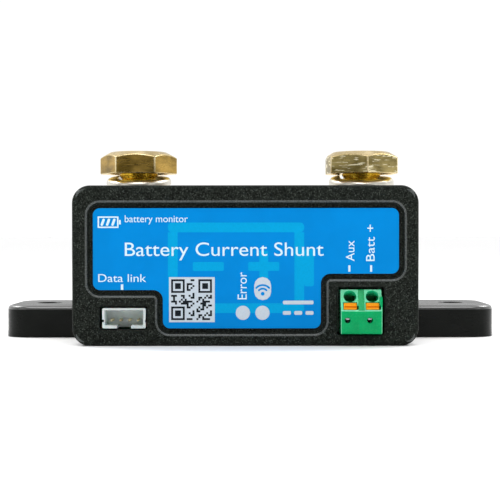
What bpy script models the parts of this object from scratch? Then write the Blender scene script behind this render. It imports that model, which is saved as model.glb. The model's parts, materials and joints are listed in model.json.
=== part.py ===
"""Battery monitor shunt: two brass terminal blocks joined by resistor plates on a moulded base,
with the measuring electronics in a housing along the front.

+X runs to the right along the length, +Y from the front face to the back, +Z up.
The origin is under the middle of the whole object, on the surface it stands on.
Every size below is in millimetres; new_mesh() turns them into metres.
"""

import math

import bmesh
import bpy
from mathutils import Vector

MM = 0.001
GAP = 0.3  # between pieces that meet
PAST = 1.0  # how far a cutter runs past the face it opens

# Whole object
LENGTH = 120.0
DEPTH = 54.0
HEIGHT = 46.0
FRONT_Y = -DEPTH / 2
BACK_Y = DEPTH / 2

# Moulded base with an ear at each end
BASE_DEPTH = 28.0
BASE_HEIGHT = 7.8
BASE_CORNER = 6.0
BASE_EDGE = 1.0
BASE_Y = BACK_Y - BASE_DEPTH / 2
SEAT_LENGTH = 81.0  # raised middle that the blocks stand on, between the ears
SEAT_INSET = 0.4
SEAT_HEIGHT = 0.6
EAR_HOLE_SPACING = 102.0
EAR_HOLE_RADIUS = 3.0

# Brass terminal blocks, and the plates soldered between them
TERMINAL_SPACING = 56.6
BLOCK_WIDTH = 21.0
BLOCK_DEPTH = 26.0
BLOCK_BOTTOM = BASE_HEIGHT + SEAT_HEIGHT + GAP
BLOCK_TOP = 32.8
BLOCK_FRONT_Y = BASE_Y - BLOCK_DEPTH / 2
PLATE_COUNT = 4
PLATE_PITCH = 5.6
PLATE_THICKNESS = 2.0
PLATE_HEIGHT = 20.0
PLATE_SLOT = 4.0
PLATE_BOTTOM = BLOCK_BOTTOM + 2.5
TRIM_NOTCH = (1.0, 3.0)  # width and depth of the cut that trims the resistance

# M10 terminal bolts and their washers
THREAD_RADIUS = 5.0
BOLT_LENGTH = 25.0
HEX_FLATS = 17.0
HEAD_BOTTOM = 40.4
HEAD_FLAT_RADIUS = 7.0  # of the flat round top inside the chamfer
HEAD_CHAMFER = math.radians(28)
BOLT_TURN = {"battery": math.radians(-1), "load": math.radians(-25.4)}
BORE_RADIUS = THREAD_RADIUS + GAP
BORE_DEPTH = 20.0
FLAT_WASHER_RADIUS = 10.0
FLAT_WASHER_THICKNESS = 2.0
FLAT_WASHER_BOTTOM = BLOCK_TOP + GAP
SPRING_WASHER_RADIUS = 8.2
SPRING_WASHER_THICKNESS = 1.9
SPRING_RISE = 0.8  # from its low cut end to its high one
SPRING_TILT = 1.3
SPRING_SPLIT = math.radians(128)
SPRING_SPLIT_WIDTH = math.radians(14)

# Block screws, driven from below
BLOCK_SCREW_OFFSET = 8.8
BLOCK_SCREW_RADIUS = 2.0
BLOCK_SCREW_HEAD = (3.5, 2.6)  # radius and height
BLOCK_SCREW_SEAT = 3.8
BLOCK_SCREW_TOP = 16.0

# Housing
HOUSING_WIDTH = 78.1
HOUSING_HEIGHT = 36.2
HOUSING_X = -1.05
HOUSING_CORNER = 4.0
HOUSING_EDGE = 0.8
HOUSING_FRONT_Y = FRONT_Y + 2.0  # the clamp terminal stands out in front of it
HOUSING_BACK_Y = -3.1
WALL = 2.0
FRONT_WALL = 2.4
HOUSING_LEFT = HOUSING_X - HOUSING_WIDTH / 2
HOUSING_RIGHT = HOUSING_X + HOUSING_WIDTH / 2
BOSS_RADIUS = 2.5
BOSS_INSET = 3.9
BOSS_HEIGHTS = (12.0, 31.8)
BACK_PLATE = 1.5
BACK_PLATE_Y = HOUSING_BACK_Y + GAP
HOUSING_SCREW_RADIUS = 1.2
HOUSING_SCREW_LENGTH = 9.0
COUNTERSINK = 1.1

# Label, and the recess it lies in
LABEL_LEFT = HOUSING_LEFT + 4.7
LABEL_RIGHT = HOUSING_RIGHT - 4.45
LABEL_TOP = HOUSING_HEIGHT - 5.15
LABEL_BOTTOM = 3.95
LABEL_STEP_LEFT = (-19.65, 12.6)  # corner of the step over the data socket
LABEL_STEP_RIGHT = (15.95, 16.25)  # corner of the step over the clamp terminal
LABEL_CORNER = 1.6
LABEL_INNER_CORNER = 2.2
LABEL_THICKNESS = 0.25
RECESS_DEPTH = 1.2
RECESS_MARGIN = 1.0
RECESS_RIM = 0.9

# Circuit board and what holds it
BOARD_FRONT_Y = HOUSING_FRONT_Y + 6.8
BOARD_THICKNESS = 1.6
BOARD_BACK_Y = BOARD_FRONT_Y + BOARD_THICKNESS
BOARD_CLEARANCE = 0.7
STANDOFF_X = 27.0
STANDOFF_HEIGHTS = (20.0, 28.5)
STANDOFF_FLATS = 5.5
BOARD_SCREW_RADIUS = 1.5
BOARD_SCREW_HEAD = (2.7, 2.0)  # radius and height
BOARD_SCREW_REACH = 6.5
STUD_LENGTH = 5.0
SCREW_SOCKET_DEPTH = 6.0
LEAD_HOLE_RADIUS = 0.9

# Four-way data socket
SOCKET_X = -28.37
SOCKET_Z = 6.27
SOCKET_SIZE = (9.8, 4.58)
SOCKET_OPENING = (10.64, 5.26)
SOCKET_OPENING_CENTRE = (-28.49, 6.31)
SOCKET_FRONT_Y = HOUSING_FRONT_Y
SOCKET_WALL = 0.7
SOCKET_FLOOR = 1.6
SOCKET_KEY = 3.2
PIN_COUNT = 4
PIN_PITCH = 2.0
PIN_SIDE = 0.5
PIN_Z = 5.68
PIN_TIP_Y = SOCKET_FRONT_Y + 1.6

# Two-way push-in clamp terminal
CLAMP_X = 24.93
CLAMP_PITCH = 5.0
CLAMP_WIDTH = 9.24
CLAMP_BOTTOM = 2.79
CLAMP_TOP = 12.73
CLAMP_LEDGE = 7.94
CLAMP_STEP = 0.25  # how far the slope's foot stands back from the ledge, and above it
CLAMP_FRONT_Y = FRONT_Y
CLAMP_SLOPE = math.radians(26.8)
CLAMP_OPENING = (10.5, 10.8)
CLAMP_OPENING_CENTRE = (24.85, 7.85)
ENTRY_RADIUS = 1.35
ENTRY_ALONG = 3.35  # up the slope from the ledge
BUTTON_ALONG = 0.97
BUTTON_SIZE = (2.9, 2.7, 1.65)  # across, into the slope, up the slope
BUTTON_SLOT_DEPTH = 4.2
BUTTON_FIT = 0.12
CAVITY_SIZE = (3.8, 2.2)
CAVITY_HEIGHTS = (3.6, 9.8)
TEST_HOLE_Z = 5.89
TEST_HOLE_RADIUS = 0.61
TEST_HOLE_SHIFT = -0.63

# Status lights
LIGHT_X = (-1.62, 2.79)
LIGHT_Z = 7.45
LIGHT_GUIDE_RADIUS = 1.4
LIGHT_GUIDE_FLANGE = 0.5
LAMP_SIZE = (2.0, 0.8, 1.2)

SIDES = {"battery": -1, "load": 1}

PAINTS = {  # colour, roughness, metallic
    "black_moulding": ((0.018, 0.019, 0.018), 0.35, 0.0),
    "black_textured": ((0.030, 0.033, 0.031), 0.62, 0.0),
    "brass": ((0.62, 0.45, 0.17), 0.30, 1.0),
    "manganin": ((0.55, 0.36, 0.25), 0.40, 1.0),
    "plated_steel": ((0.66, 0.65, 0.62), 0.28, 1.0),
    "label_blue": ((0.0, 0.27, 0.76), 0.35, 0.0),
    "socket_white": ((0.62, 0.65, 0.63), 0.45, 0.0),
    "terminal_green": ((0.02, 0.42, 0.14), 0.42, 0.0),
    "button_orange": ((0.95, 0.27, 0.0), 0.45, 0.0),
    "board_green": ((0.02, 0.15, 0.06), 0.50, 0.0),
    "chip_black": ((0.02, 0.02, 0.02), 0.55, 0.0),
    "gold": ((0.85, 0.62, 0.25), 0.25, 1.0),
    "clear_plastic": ((0.85, 0.88, 0.90), 0.15, 0.0),
}


# ---------------------------------------------------------------- helpers


def clear_scene():
    for old in list(bpy.data.objects):
        bpy.data.objects.remove(old)


def paint(name):
    """The Principled BSDF material of that name, made once."""
    made = bpy.data.materials.get(name)
    if made:
        return made
    colour, roughness, metallic = PAINTS[name]
    made = bpy.data.materials.new(name)
    made.use_nodes = True
    shader = made.node_tree.nodes["Principled BSDF"]
    shader.inputs["Base Color"].default_value = (*colour, 1)
    shader.inputs["Roughness"].default_value = roughness
    shader.inputs["Metallic"].default_value = metallic
    return made


def new_mesh(name, rings, loop=False):
    """A closed skin over rings of points in millimetres, capped at both ends or joined in a loop."""
    shape = bmesh.new()
    rows = [[shape.verts.new(Vector(p) * MM) for p in ring] for ring in rings]
    count = len(rows[0])
    pairs = list(zip(rows, rows[1:] + rows[:1] if loop else rows[1:]))
    for low, high in pairs:
        for i in range(count):
            j = (i + 1) % count
            shape.faces.new((low[i], low[j], high[j], high[i]))
    if not loop:
        shape.faces.new(rows[0])
        shape.faces.new(rows[-1])
    bmesh.ops.recalc_face_normals(shape, faces=shape.faces)
    mesh = bpy.data.meshes.new(name)
    shape.to_mesh(mesh)
    shape.free()
    mesh.shade_smooth()
    mesh.set_sharp_from_angle(angle=math.radians(35))
    return mesh


def place(name, mesh, paint_name, at=(0, 0, 0), turn=(0, 0, 0), parent=None):
    """A named object at a point in millimetres."""
    obj = bpy.data.objects.new(name, mesh)
    bpy.context.scene.collection.objects.link(obj)
    obj.location = Vector(at) * MM
    obj.rotation_euler = turn
    obj.parent = parent
    if paint_name and not mesh.materials:
        mesh.materials.append(paint(paint_name))
    return obj


def combine(target, mesh, at=(0, 0, 0), turn=(0, 0, 0), parent=None, operation="DIFFERENCE"):
    """Cuts a hidden helper from the target, or joins it on."""
    helper = place("helper_" + mesh.name, mesh, None, at, turn, parent)
    helper.hide_render = True
    helper.display_type = "WIRE"
    step = target.modifiers.new(operation.title(), "BOOLEAN")
    step.operation = operation
    step.object = helper
    return helper


def rectangle(left, right, bottom, top):
    return [(left, bottom), (right, bottom), (right, top), (left, top)]


def rounded(corners, radii, grow=0.0, steps=5):
    """The outline of anticlockwise corners with round corners, grown outwards by a distance."""
    points = []
    count = len(corners)
    for i, radius in enumerate(radii):
        here = Vector(corners[i])
        into = (here - Vector(corners[i - 1])).normalized()
        out = (Vector(corners[(i + 1) % count]) - here).normalized()
        bend = 1 if into.x * out.y - into.y * out.x > 0 else -1
        here += grow * (Vector((into.y, -into.x)) + Vector((out.y, -out.x)))
        turned = radius + bend * grow
        centre = here - turned * into + turned * out
        for step in range(steps + 1):
            angle = math.radians(90 * step / steps)
            points.append(centre - turned * (math.cos(angle) * out - math.sin(angle) * into))
    return points


def in_plan(outline, z):
    """An (x, y) outline at a height."""
    return [(x, y, z) for x, y in outline]


def in_front_view(outline, y):
    """An (x, z) outline at a depth."""
    return [(x, y, z) for x, z in outline]


def in_side_view(outline, x):
    """A (y, z) outline at a length."""
    return [(x, y, z) for y, z in outline]


def box(name, low, high):
    outline = rectangle(low[0], high[0], low[1], high[1])
    return new_mesh(name, [in_plan(outline, low[2]), in_plan(outline, high[2])])


def circle(radius, height, axis, sides, turn=0.0):
    """A ring of points round the +Z or +Y axis."""
    points = []
    for i in range(sides):
        angle = turn + 2 * math.pi * i / sides
        across, up = radius * math.cos(angle), radius * math.sin(angle)
        points.append((across, up, height) if axis == "Z" else (across, height, up))
    return points


def turned(name, profile, axis="Z", sides=24, turn=0.0, hollow=False):
    """A piece turned from (radius, height) steps; hollow joins the last step to the first."""
    return new_mesh(name, [circle(r, h, axis, sides, turn) for r, h in profile], loop=hollow)


# ---------------------------------------------------------------- base and shunt


def make_base():
    corners = rectangle(-LENGTH / 2, LENGTH / 2, BASE_Y - BASE_DEPTH / 2, BASE_Y + BASE_DEPTH / 2)
    radii = [BASE_CORNER] * 4
    rings = [in_plan(rounded(corners, radii), 0)]
    for step in range(4):
        angle = math.radians(30 * step)
        inward = BASE_EDGE * (1 - math.cos(angle))
        height = BASE_HEIGHT - BASE_EDGE * (1 - math.sin(angle))
        rings.append(in_plan(rounded(corners, radii, -inward), height))
    base = place("mounting_base", new_mesh("mounting_base", rings), "black_moulding")
    half_depth = BASE_DEPTH / 2 - SEAT_INSET
    seat = box("block_seat", (-SEAT_LENGTH / 2, BASE_Y - half_depth, BASE_HEIGHT / 2),
               (SEAT_LENGTH / 2, BASE_Y + half_depth, BASE_HEIGHT + SEAT_HEIGHT))
    combine(base, seat, operation="UNION")
    hole = turned("ear_hole", [(EAR_HOLE_RADIUS, -PAST), (EAR_HOLE_RADIUS, BASE_HEIGHT + PAST)])
    counterbore = turned("screw_counterbore", [
        (BLOCK_SCREW_HEAD[0] + 0.5, -PAST),
        (BLOCK_SCREW_HEAD[0] + 0.5, BLOCK_SCREW_SEAT),
        (BLOCK_SCREW_RADIUS + GAP, BLOCK_SCREW_SEAT),
        (BLOCK_SCREW_RADIUS + GAP, BASE_HEIGHT + SEAT_HEIGHT + PAST),
    ], sides=20)
    for side in SIDES.values():
        combine(base, hole, (side * EAR_HOLE_SPACING / 2, BASE_Y, 0))
        for x, y in block_screw_places(side):
            combine(base, counterbore, (x, y, 0))


def block_screw_places(side):
    x = side * TERMINAL_SPACING / 2
    return [(x, BASE_Y + end * BLOCK_SCREW_OFFSET) for end in (-1, 1)]


def plate_offsets():
    middle = (PLATE_COUNT - 1) / 2
    return [(i - middle) * PLATE_PITCH for i in range(PLATE_COUNT)]


def make_block(name, side):
    """A brass block with a slot for each plate's end in its inner face."""
    half_x, half_y = BLOCK_WIDTH / 2, BLOCK_DEPTH / 2
    half_slot = PLATE_THICKNESS / 2 + GAP
    outline = [(half_x, -half_y), (half_x, half_y), (-half_x, half_y)]
    for offset in reversed(plate_offsets()):
        for x, y in ((0, half_slot), (PLATE_SLOT, half_slot), (PLATE_SLOT, -half_slot), (0, -half_slot)):
            outline.append((x - half_x, offset + y))
    outline.append((-half_x, -half_y))
    outline = [(side * x, y) for x, y in outline]
    mesh = new_mesh(name, [in_plan(outline, BLOCK_BOTTOM), in_plan(outline, BLOCK_TOP)])
    block = place(name, mesh, "brass", (side * TERMINAL_SPACING / 2, BASE_Y, 0))
    bore = turned("bore", [
        (BORE_RADIUS, BLOCK_TOP - BORE_DEPTH),
        (BORE_RADIUS, BLOCK_TOP - 0.5),
        (BORE_RADIUS + 1.5, BLOCK_TOP + PAST),
    ], sides=32)
    combine(block, bore, (side * TERMINAL_SPACING / 2, BASE_Y, 0))
    tapped = turned("tapped_hole", [
        (BLOCK_SCREW_RADIUS + GAP, BLOCK_BOTTOM - PAST),
        (BLOCK_SCREW_RADIUS + GAP, BLOCK_SCREW_TOP + 1.5),
    ], sides=16)
    for x, y in block_screw_places(side):
        combine(block, tapped, (x, y, 0))
    stud_hole = turned("stud_hole", [
        (BOARD_SCREW_RADIUS + GAP, -PAST),
        (BOARD_SCREW_RADIUS + GAP, STUD_LENGTH + 0.5),
    ], axis="Y", sides=16)
    for z in STANDOFF_HEIGHTS:
        combine(block, stud_hole, (side * STANDOFF_X, BLOCK_FRONT_Y, z))


def make_plates():
    """Four upright resistor plates; the front one carries the trimming cut."""
    reach = TERMINAL_SPACING / 2 - BLOCK_WIDTH / 2 + PLATE_SLOT - GAP
    half = PLATE_THICKNESS / 2
    plain = box("resistor_plate", (-reach, -half, 0), (reach, half, PLATE_HEIGHT))
    for i, offset in enumerate(plate_offsets()):
        plate = place(f"resistor_plate_{i + 1}", plain, "manganin", (0, BASE_Y + offset, PLATE_BOTTOM))
        if i == 0:
            width, depth = TRIM_NOTCH
            low = (-width / 2, -half - PAST, PLATE_HEIGHT - depth)
            notch = box("trim_notch", low, (width / 2, half + PAST, PLATE_HEIGHT + PAST))
            combine(plate, notch, plate.location / MM)


def make_block_screws():
    radius, height = BLOCK_SCREW_HEAD
    seat = BLOCK_SCREW_SEAT - GAP
    mesh = turned("block_screw", [
        (radius * 0.8, seat - height),
        (radius, seat - height + 0.7),
        (radius, seat),
        (BLOCK_SCREW_RADIUS, seat),
        (BLOCK_SCREW_RADIUS, BLOCK_SCREW_TOP - 0.8),
        (BLOCK_SCREW_RADIUS - 0.8, BLOCK_SCREW_TOP),
    ], sides=16)
    half = radius * 0.55
    slot = box("cross_slot", (-half, -0.45, -PAST), (half, 0.45, seat - height + 1.2))
    places = [at for side in SIDES.values() for at in block_screw_places(side)]
    for i, (x, y) in enumerate(places):
        screw = place(f"block_screw_{i + 1}", mesh, "plated_steel", (x, y, 0))
        for turn in (0, math.pi / 2):
            combine(screw, slot, (x, y, 0), (0, 0, turn))


# ---------------------------------------------------------------- terminal bolts


def make_bolt(end, side):
    """A hexagon bolt whose origin is on its axis, under its head."""
    name = f"terminal_bolt_{end}"
    head = HEIGHT - HEAD_BOTTOM
    corner = HEX_FLATS / 2 / math.cos(math.radians(30))
    at = (side * TERMINAL_SPACING / 2, BASE_Y, HEAD_BOTTOM)
    turn = (0, 0, BOLT_TURN[end])
    mesh = turned(name, [(corner, 0.0), (corner, head)], sides=6)
    bolt = place(name, mesh, "brass", at, turn)
    fall = (corner + PAST - HEAD_FLAT_RADIUS) * math.tan(HEAD_CHAMFER)
    cone = turned("head_cone", [
        (corner + PAST, -PAST),
        (corner + PAST, head - fall),
        (HEAD_FLAT_RADIUS, head),
    ], sides=48)
    combine(bolt, cone, at, turn, operation="INTERSECT")
    shank = turned("shank", [
        (THREAD_RADIUS - 1.0, -BOLT_LENGTH),
        (THREAD_RADIUS, 1.0 - BOLT_LENGTH),
        (THREAD_RADIUS, head / 2),
    ], sides=32)
    combine(bolt, shank, at, turn, operation="UNION")


def make_flat_washer(end, side):
    inner = THREAD_RADIUS + GAP
    steps = [(inner, 0), (FLAT_WASHER_RADIUS, 0), (FLAT_WASHER_RADIUS, FLAT_WASHER_THICKNESS),
             (inner, FLAT_WASHER_THICKNESS)]
    mesh = turned(f"flat_washer_{end}", steps, sides=40, hollow=True)
    place(mesh.name, mesh, "plated_steel", (side * TERMINAL_SPACING / 2, BASE_Y, FLAT_WASHER_BOTTOM))


def make_spring_washer(end, side):
    """A split ring of square section that falls from cut end to cut end and leans up to the back."""
    inner, outer = THREAD_RADIUS + GAP, SPRING_WASHER_RADIUS
    steps = 40
    rings = []
    for i in range(steps + 1):
        share = i / steps
        angle = SPRING_SPLIT + SPRING_SPLIT_WIDTH / 2 + share * (2 * math.pi - SPRING_SPLIT_WIDTH)
        across, away = math.cos(angle), math.sin(angle)
        ring = []
        for radius, height in ((inner, 0), (outer, 0), (outer, 1), (inner, 1)):
            lean = SPRING_TILT * away * radius / outer
            z = SPRING_RISE * (0.5 - share) + lean + height * SPRING_WASHER_THICKNESS
            ring.append((radius * across, radius * away, z))
        rings.append(ring)
    mesh = new_mesh(f"spring_washer_{end}", rings)
    high_end = SPRING_RISE / 2 + SPRING_TILT * math.sin(SPRING_SPLIT + SPRING_SPLIT_WIDTH / 2)
    middle = HEAD_BOTTOM - GAP - SPRING_WASHER_THICKNESS - high_end
    place(mesh.name, mesh, "plated_steel", (side * TERMINAL_SPACING / 2, BASE_Y, middle))


# ---------------------------------------------------------------- housing and label


def label_outline(grow):
    """The stepped outline of the label in the front view."""
    left_x, left_z = LABEL_STEP_LEFT
    right_x, right_z = LABEL_STEP_RIGHT
    corners = [
        (left_x, LABEL_BOTTOM), (right_x, LABEL_BOTTOM), (right_x, right_z), (LABEL_RIGHT, right_z),
        (LABEL_RIGHT, LABEL_TOP), (LABEL_LEFT, LABEL_TOP), (LABEL_LEFT, left_z), (left_x, left_z),
    ]
    inner = (2, 7)
    radii = [LABEL_INNER_CORNER if i in inner else LABEL_CORNER for i in range(8)]
    return rounded(corners, radii, grow, steps=4)


def housing_outline(grow):
    corners = rectangle(HOUSING_LEFT, HOUSING_RIGHT, 0, HOUSING_HEIGHT)
    return rounded(corners, [HOUSING_CORNER] * 4, grow)


def boss_places():
    return [(x, z) for z in BOSS_HEIGHTS for x in (HOUSING_LEFT + BOSS_INSET, HOUSING_RIGHT - BOSS_INSET)]


def standoff_places():
    return [(side * STANDOFF_X, z) for side in SIDES.values() for z in STANDOFF_HEIGHTS]


def opening_cutter(name, centre, size):
    (x, z), (width, height) = centre, size
    corners = rectangle(x - width / 2, x + width / 2, z - height / 2, z + height / 2)
    outline = rounded(corners, [0.3] * 4, steps=2)
    ends = (HOUSING_FRONT_Y - PAST, HOUSING_FRONT_Y + FRONT_WALL + PAST)
    return new_mesh(name, [in_front_view(outline, y) for y in ends])


def make_shell():
    """The front shell: a box open at the back, with the label recess, openings and screw bosses."""
    rings = []
    for step in range(3):
        angle = math.radians(45 * step)
        inward = HOUSING_EDGE * (1 - math.sin(angle))
        depth = HOUSING_EDGE * (1 - math.cos(angle))
        rings.append(in_front_view(housing_outline(-inward), HOUSING_FRONT_Y + depth))
    rings.append(in_front_view(housing_outline(0), HOUSING_BACK_Y))
    shell = place("housing_shell", new_mesh("housing_shell", rings), "black_textured")

    inside = housing_outline(-WALL)
    ends = (HOUSING_FRONT_Y + FRONT_WALL, HOUSING_BACK_Y + PAST)
    combine(shell, new_mesh("cavity", [in_front_view(inside, y) for y in ends]))

    boss_front, boss_back = HOUSING_FRONT_Y + FRONT_WALL - 0.6, HOUSING_BACK_Y - GAP
    boss = turned("boss", [(BOSS_RADIUS, boss_front), (BOSS_RADIUS, boss_back)], axis="Y", sides=16)
    pilot_radius = HOUSING_SCREW_RADIUS + GAP
    pilot_front = HOUSING_BACK_Y - HOUSING_SCREW_LENGTH - 1
    pilot = turned("pilot", [(pilot_radius, pilot_front), (pilot_radius, 0)], axis="Y", sides=12)
    for x, z in boss_places():
        combine(shell, boss, (x, 0, z), operation="UNION")
    for x, z in boss_places():
        combine(shell, pilot, (x, 0, z))

    rings = [in_front_view(label_outline(RECESS_MARGIN + RECESS_RIM), HOUSING_FRONT_Y - PAST)]
    for step in range(4):
        angle = math.radians(30 * step)
        outward = RECESS_RIM * (1 - math.sin(angle))
        depth = RECESS_RIM * (1 - math.cos(angle))
        rings.append(in_front_view(label_outline(RECESS_MARGIN + outward), HOUSING_FRONT_Y + depth))
    rings.append(in_front_view(label_outline(RECESS_MARGIN), HOUSING_FRONT_Y + RECESS_DEPTH))
    combine(shell, new_mesh("recess", rings))

    combine(shell, opening_cutter("socket_opening", SOCKET_OPENING_CENTRE, SOCKET_OPENING))
    combine(shell, opening_cutter("clamp_opening", CLAMP_OPENING_CENTRE, CLAMP_OPENING))
    reach = LIGHT_GUIDE_RADIUS + GAP
    ends = (HOUSING_FRONT_Y, HOUSING_FRONT_Y + FRONT_WALL + PAST)
    window = turned("light_hole", [(reach, y) for y in ends], axis="Y", sides=16)
    for x in LIGHT_X:
        combine(shell, window, (x, 0, LIGHT_Z))


def make_back_plate():
    """The rear cover, with countersunk screw holes and clearance for the standoffs."""
    back = BACK_PLATE_Y + BACK_PLATE
    mesh = new_mesh("housing_back", [in_front_view(housing_outline(0), y) for y in (BACK_PLATE_Y, back)])
    plate = place("housing_back", mesh, "black_textured")
    sink = turned("countersink", [
        (HOUSING_SCREW_RADIUS + GAP, BACK_PLATE_Y - PAST),
        (HOUSING_SCREW_RADIUS + GAP, back - COUNTERSINK),
        (HOUSING_SCREW_RADIUS + GAP + COUNTERSINK, back),
        (HOUSING_SCREW_RADIUS + GAP + COUNTERSINK, back + PAST),
    ], axis="Y", sides=16)
    for x, z in boss_places():
        combine(plate, sink, (x, 0, z))
    radius = STANDOFF_FLATS / 2 / math.cos(math.radians(30)) + GAP
    ends = (BACK_PLATE_Y - PAST, back + PAST)
    way = turned("standoff_hole", [(radius, y) for y in ends], axis="Y", sides=16)
    for x, z in standoff_places():
        combine(plate, way, (x, 0, z))


def make_housing_screws():
    back = BACK_PLATE_Y + BACK_PLATE - 0.1
    mesh = turned("housing_screw", [
        (HOUSING_SCREW_RADIUS * 0.4, back - HOUSING_SCREW_LENGTH - 1.0),
        (HOUSING_SCREW_RADIUS, back - HOUSING_SCREW_LENGTH),
        (HOUSING_SCREW_RADIUS, back - COUNTERSINK),
        (HOUSING_SCREW_RADIUS + 1.0, back - 0.1),
        (HOUSING_SCREW_RADIUS + 1.0, back),
    ], axis="Y", sides=16)
    for i, (x, z) in enumerate(boss_places()):
        place(f"housing_screw_{i + 1}", mesh, "plated_steel", (x, 0, z))


def make_label():
    back = HOUSING_FRONT_Y + RECESS_DEPTH - GAP
    rings = [in_front_view(label_outline(0), y) for y in (back - LABEL_THICKNESS, back)]
    place("front_label", new_mesh("front_label", rings), "label_blue")


# ---------------------------------------------------------------- circuit board


def board_outline():
    """The board fills the housing and steps in round the four screw bosses."""
    left, right = HOUSING_LEFT + WALL + BOARD_CLEARANCE, HOUSING_RIGHT - WALL - BOARD_CLEARANCE
    bottom, top = WALL + BOARD_CLEARANCE, HOUSING_HEIGHT - WALL - BOARD_CLEARANCE
    reach = BOSS_RADIUS + 0.5
    in_left, in_right = HOUSING_LEFT + BOSS_INSET + reach, HOUSING_RIGHT - BOSS_INSET - reach
    low, high = BOSS_HEIGHTS
    return [
        (left, bottom), (right, bottom), (right, low - reach), (in_right, low - reach),
        (in_right, low + reach), (right, low + reach), (right, high - reach), (in_right, high - reach),
        (in_right, top), (in_left, top), (in_left, high - reach), (left, high - reach),
        (left, low + reach), (in_left, low + reach), (in_left, low - reach), (left, low - reach),
    ]


def pole_places():
    return {"aux": CLAMP_X - CLAMP_PITCH / 2, "battery": CLAMP_X + CLAMP_PITCH / 2}


def pin_places():
    middle = (PIN_COUNT - 1) / 2
    return [SOCKET_X + (i - middle) * PIN_PITCH for i in range(PIN_COUNT)]


def make_board():
    outline = board_outline()
    mesh = new_mesh("circuit_board", [in_front_view(outline, y) for y in (BOARD_FRONT_Y, BOARD_BACK_Y)])
    board = place("circuit_board", mesh, "board_green")
    ends = (BOARD_FRONT_Y - PAST, BOARD_BACK_Y + PAST)
    screw_reach = BOARD_SCREW_RADIUS + GAP
    screw_hole = turned("board_screw_hole", [(screw_reach, y) for y in ends], axis="Y", sides=16)
    for x, z in standoff_places():
        combine(board, screw_hole, (x, 0, z))
    pin_reach = PIN_SIDE / 2 + 0.4
    pin_hole = turned("pin_hole", [(pin_reach, y) for y in ends], axis="Y", sides=8)
    for x in pin_places():
        combine(board, pin_hole, (x, 0, PIN_Z))
    lead_hole = turned("lead_hole", [(LEAD_HOLE_RADIUS, y) for y in ends], axis="Y", sides=12)
    for x in pole_places().values():
        combine(board, lead_hole, (x, 0, CAVITY_HEIGHTS[0] + 0.6))


def make_standoffs():
    """Hexagonal spacers that carry the board and bring the sense connections from the brass blocks."""
    corner = STANDOFF_FLATS / 2 / math.cos(math.radians(30))
    front, back = BOARD_BACK_Y + GAP, BLOCK_FRONT_Y - GAP
    body = turned("sense_standoff", [(corner, front), (corner, back)], axis="Y", sides=6)
    stud_ends = (back - 0.5, BLOCK_FRONT_Y + STUD_LENGTH)
    stud = turned("stud", [(BOARD_SCREW_RADIUS, y) for y in stud_ends], axis="Y", sides=16)
    socket_ends = (front - PAST, front + SCREW_SOCKET_DEPTH)
    socket_radius = BOARD_SCREW_RADIUS + GAP
    socket = turned("screw_socket", [(socket_radius, y) for y in socket_ends], axis="Y", sides=16)
    for i, (x, z) in enumerate(standoff_places()):
        spacer = place(f"sense_standoff_{i + 1}", body, "brass", (x, 0, z))
        combine(spacer, stud, (x, 0, z), operation="UNION")
        combine(spacer, socket, (x, 0, z))


def make_board_screws():
    seat = BOARD_FRONT_Y - GAP
    radius, height = BOARD_SCREW_HEAD
    mesh = turned("board_screw", [
        (radius - 0.6, seat - height),
        (radius, seat - height + 0.6),
        (radius, seat),
        (BOARD_SCREW_RADIUS, seat),
        (BOARD_SCREW_RADIUS, seat + BOARD_SCREW_REACH),
    ], axis="Y", sides=16)
    for i, (x, z) in enumerate(standoff_places()):
        place(f"board_screw_{i + 1}", mesh, "plated_steel", (x, 0, z))


def make_board_parts():
    """What sits on the back of the board, as (centre x, centre z, width, height, thickness)."""
    parts = {
        "radio_module": (-8.0, 25.0, 15.0, 11.0, 2.2),
        "microcontroller": (9.0, 24.0, 7.0, 7.0, 1.0),
        "sense_amplifier": (-14.0, 12.5, 5.0, 4.0, 1.5),
        "voltage_regulator": (10.0, 13.0, 6.5, 3.6, 1.7),
        "power_inductor": (0.5, 12.5, 5.0, 5.0, 3.0),
    }
    for name, (x, z, width, height, thickness) in parts.items():
        low = BOARD_BACK_Y + GAP
        corners = rectangle(x - width / 2, x + width / 2, z - height / 2, z + height / 2)
        rings = [in_front_view(rounded(corners, [0.3] * 4, steps=1), low),
                 in_front_view(rounded(corners, [0.3] * 4, steps=1), low + thickness - 0.2),
                 in_front_view(rounded(corners, [0.3] * 4, -0.2, steps=1), low + thickness)]
        place(name, new_mesh(name, rings), "chip_black")


def make_lights():
    """A lamp on the board for each status window, and the guide that takes its light to the label."""
    width, thickness, height = LAMP_SIZE
    front = BOARD_FRONT_Y - GAP
    flange_front, flange_back = HOUSING_FRONT_Y + FRONT_WALL + GAP, HOUSING_FRONT_Y + FRONT_WALL + 0.6
    for name, x in zip(("error", "radio"), LIGHT_X):
        low = (-width / 2, front - thickness, -height / 2)
        lamp = box(f"lamp_{name}", low, (width / 2, front, height / 2))
        place(lamp.name, lamp, "clear_plastic", (x, 0, LIGHT_Z))
        guide = turned(f"light_guide_{name}", [
            (LIGHT_GUIDE_RADIUS, HOUSING_FRONT_Y + RECESS_DEPTH),
            (LIGHT_GUIDE_RADIUS, flange_front),
            (LIGHT_GUIDE_RADIUS + LIGHT_GUIDE_FLANGE, flange_front),
            (LIGHT_GUIDE_RADIUS + LIGHT_GUIDE_FLANGE, flange_back),
            (LIGHT_GUIDE_RADIUS, flange_back),
            (LIGHT_GUIDE_RADIUS, front - thickness - GAP),
        ], axis="Y", sides=16)
        place(guide.name, guide, "clear_plastic", (x, 0, LIGHT_Z))


# ---------------------------------------------------------------- data socket


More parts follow.
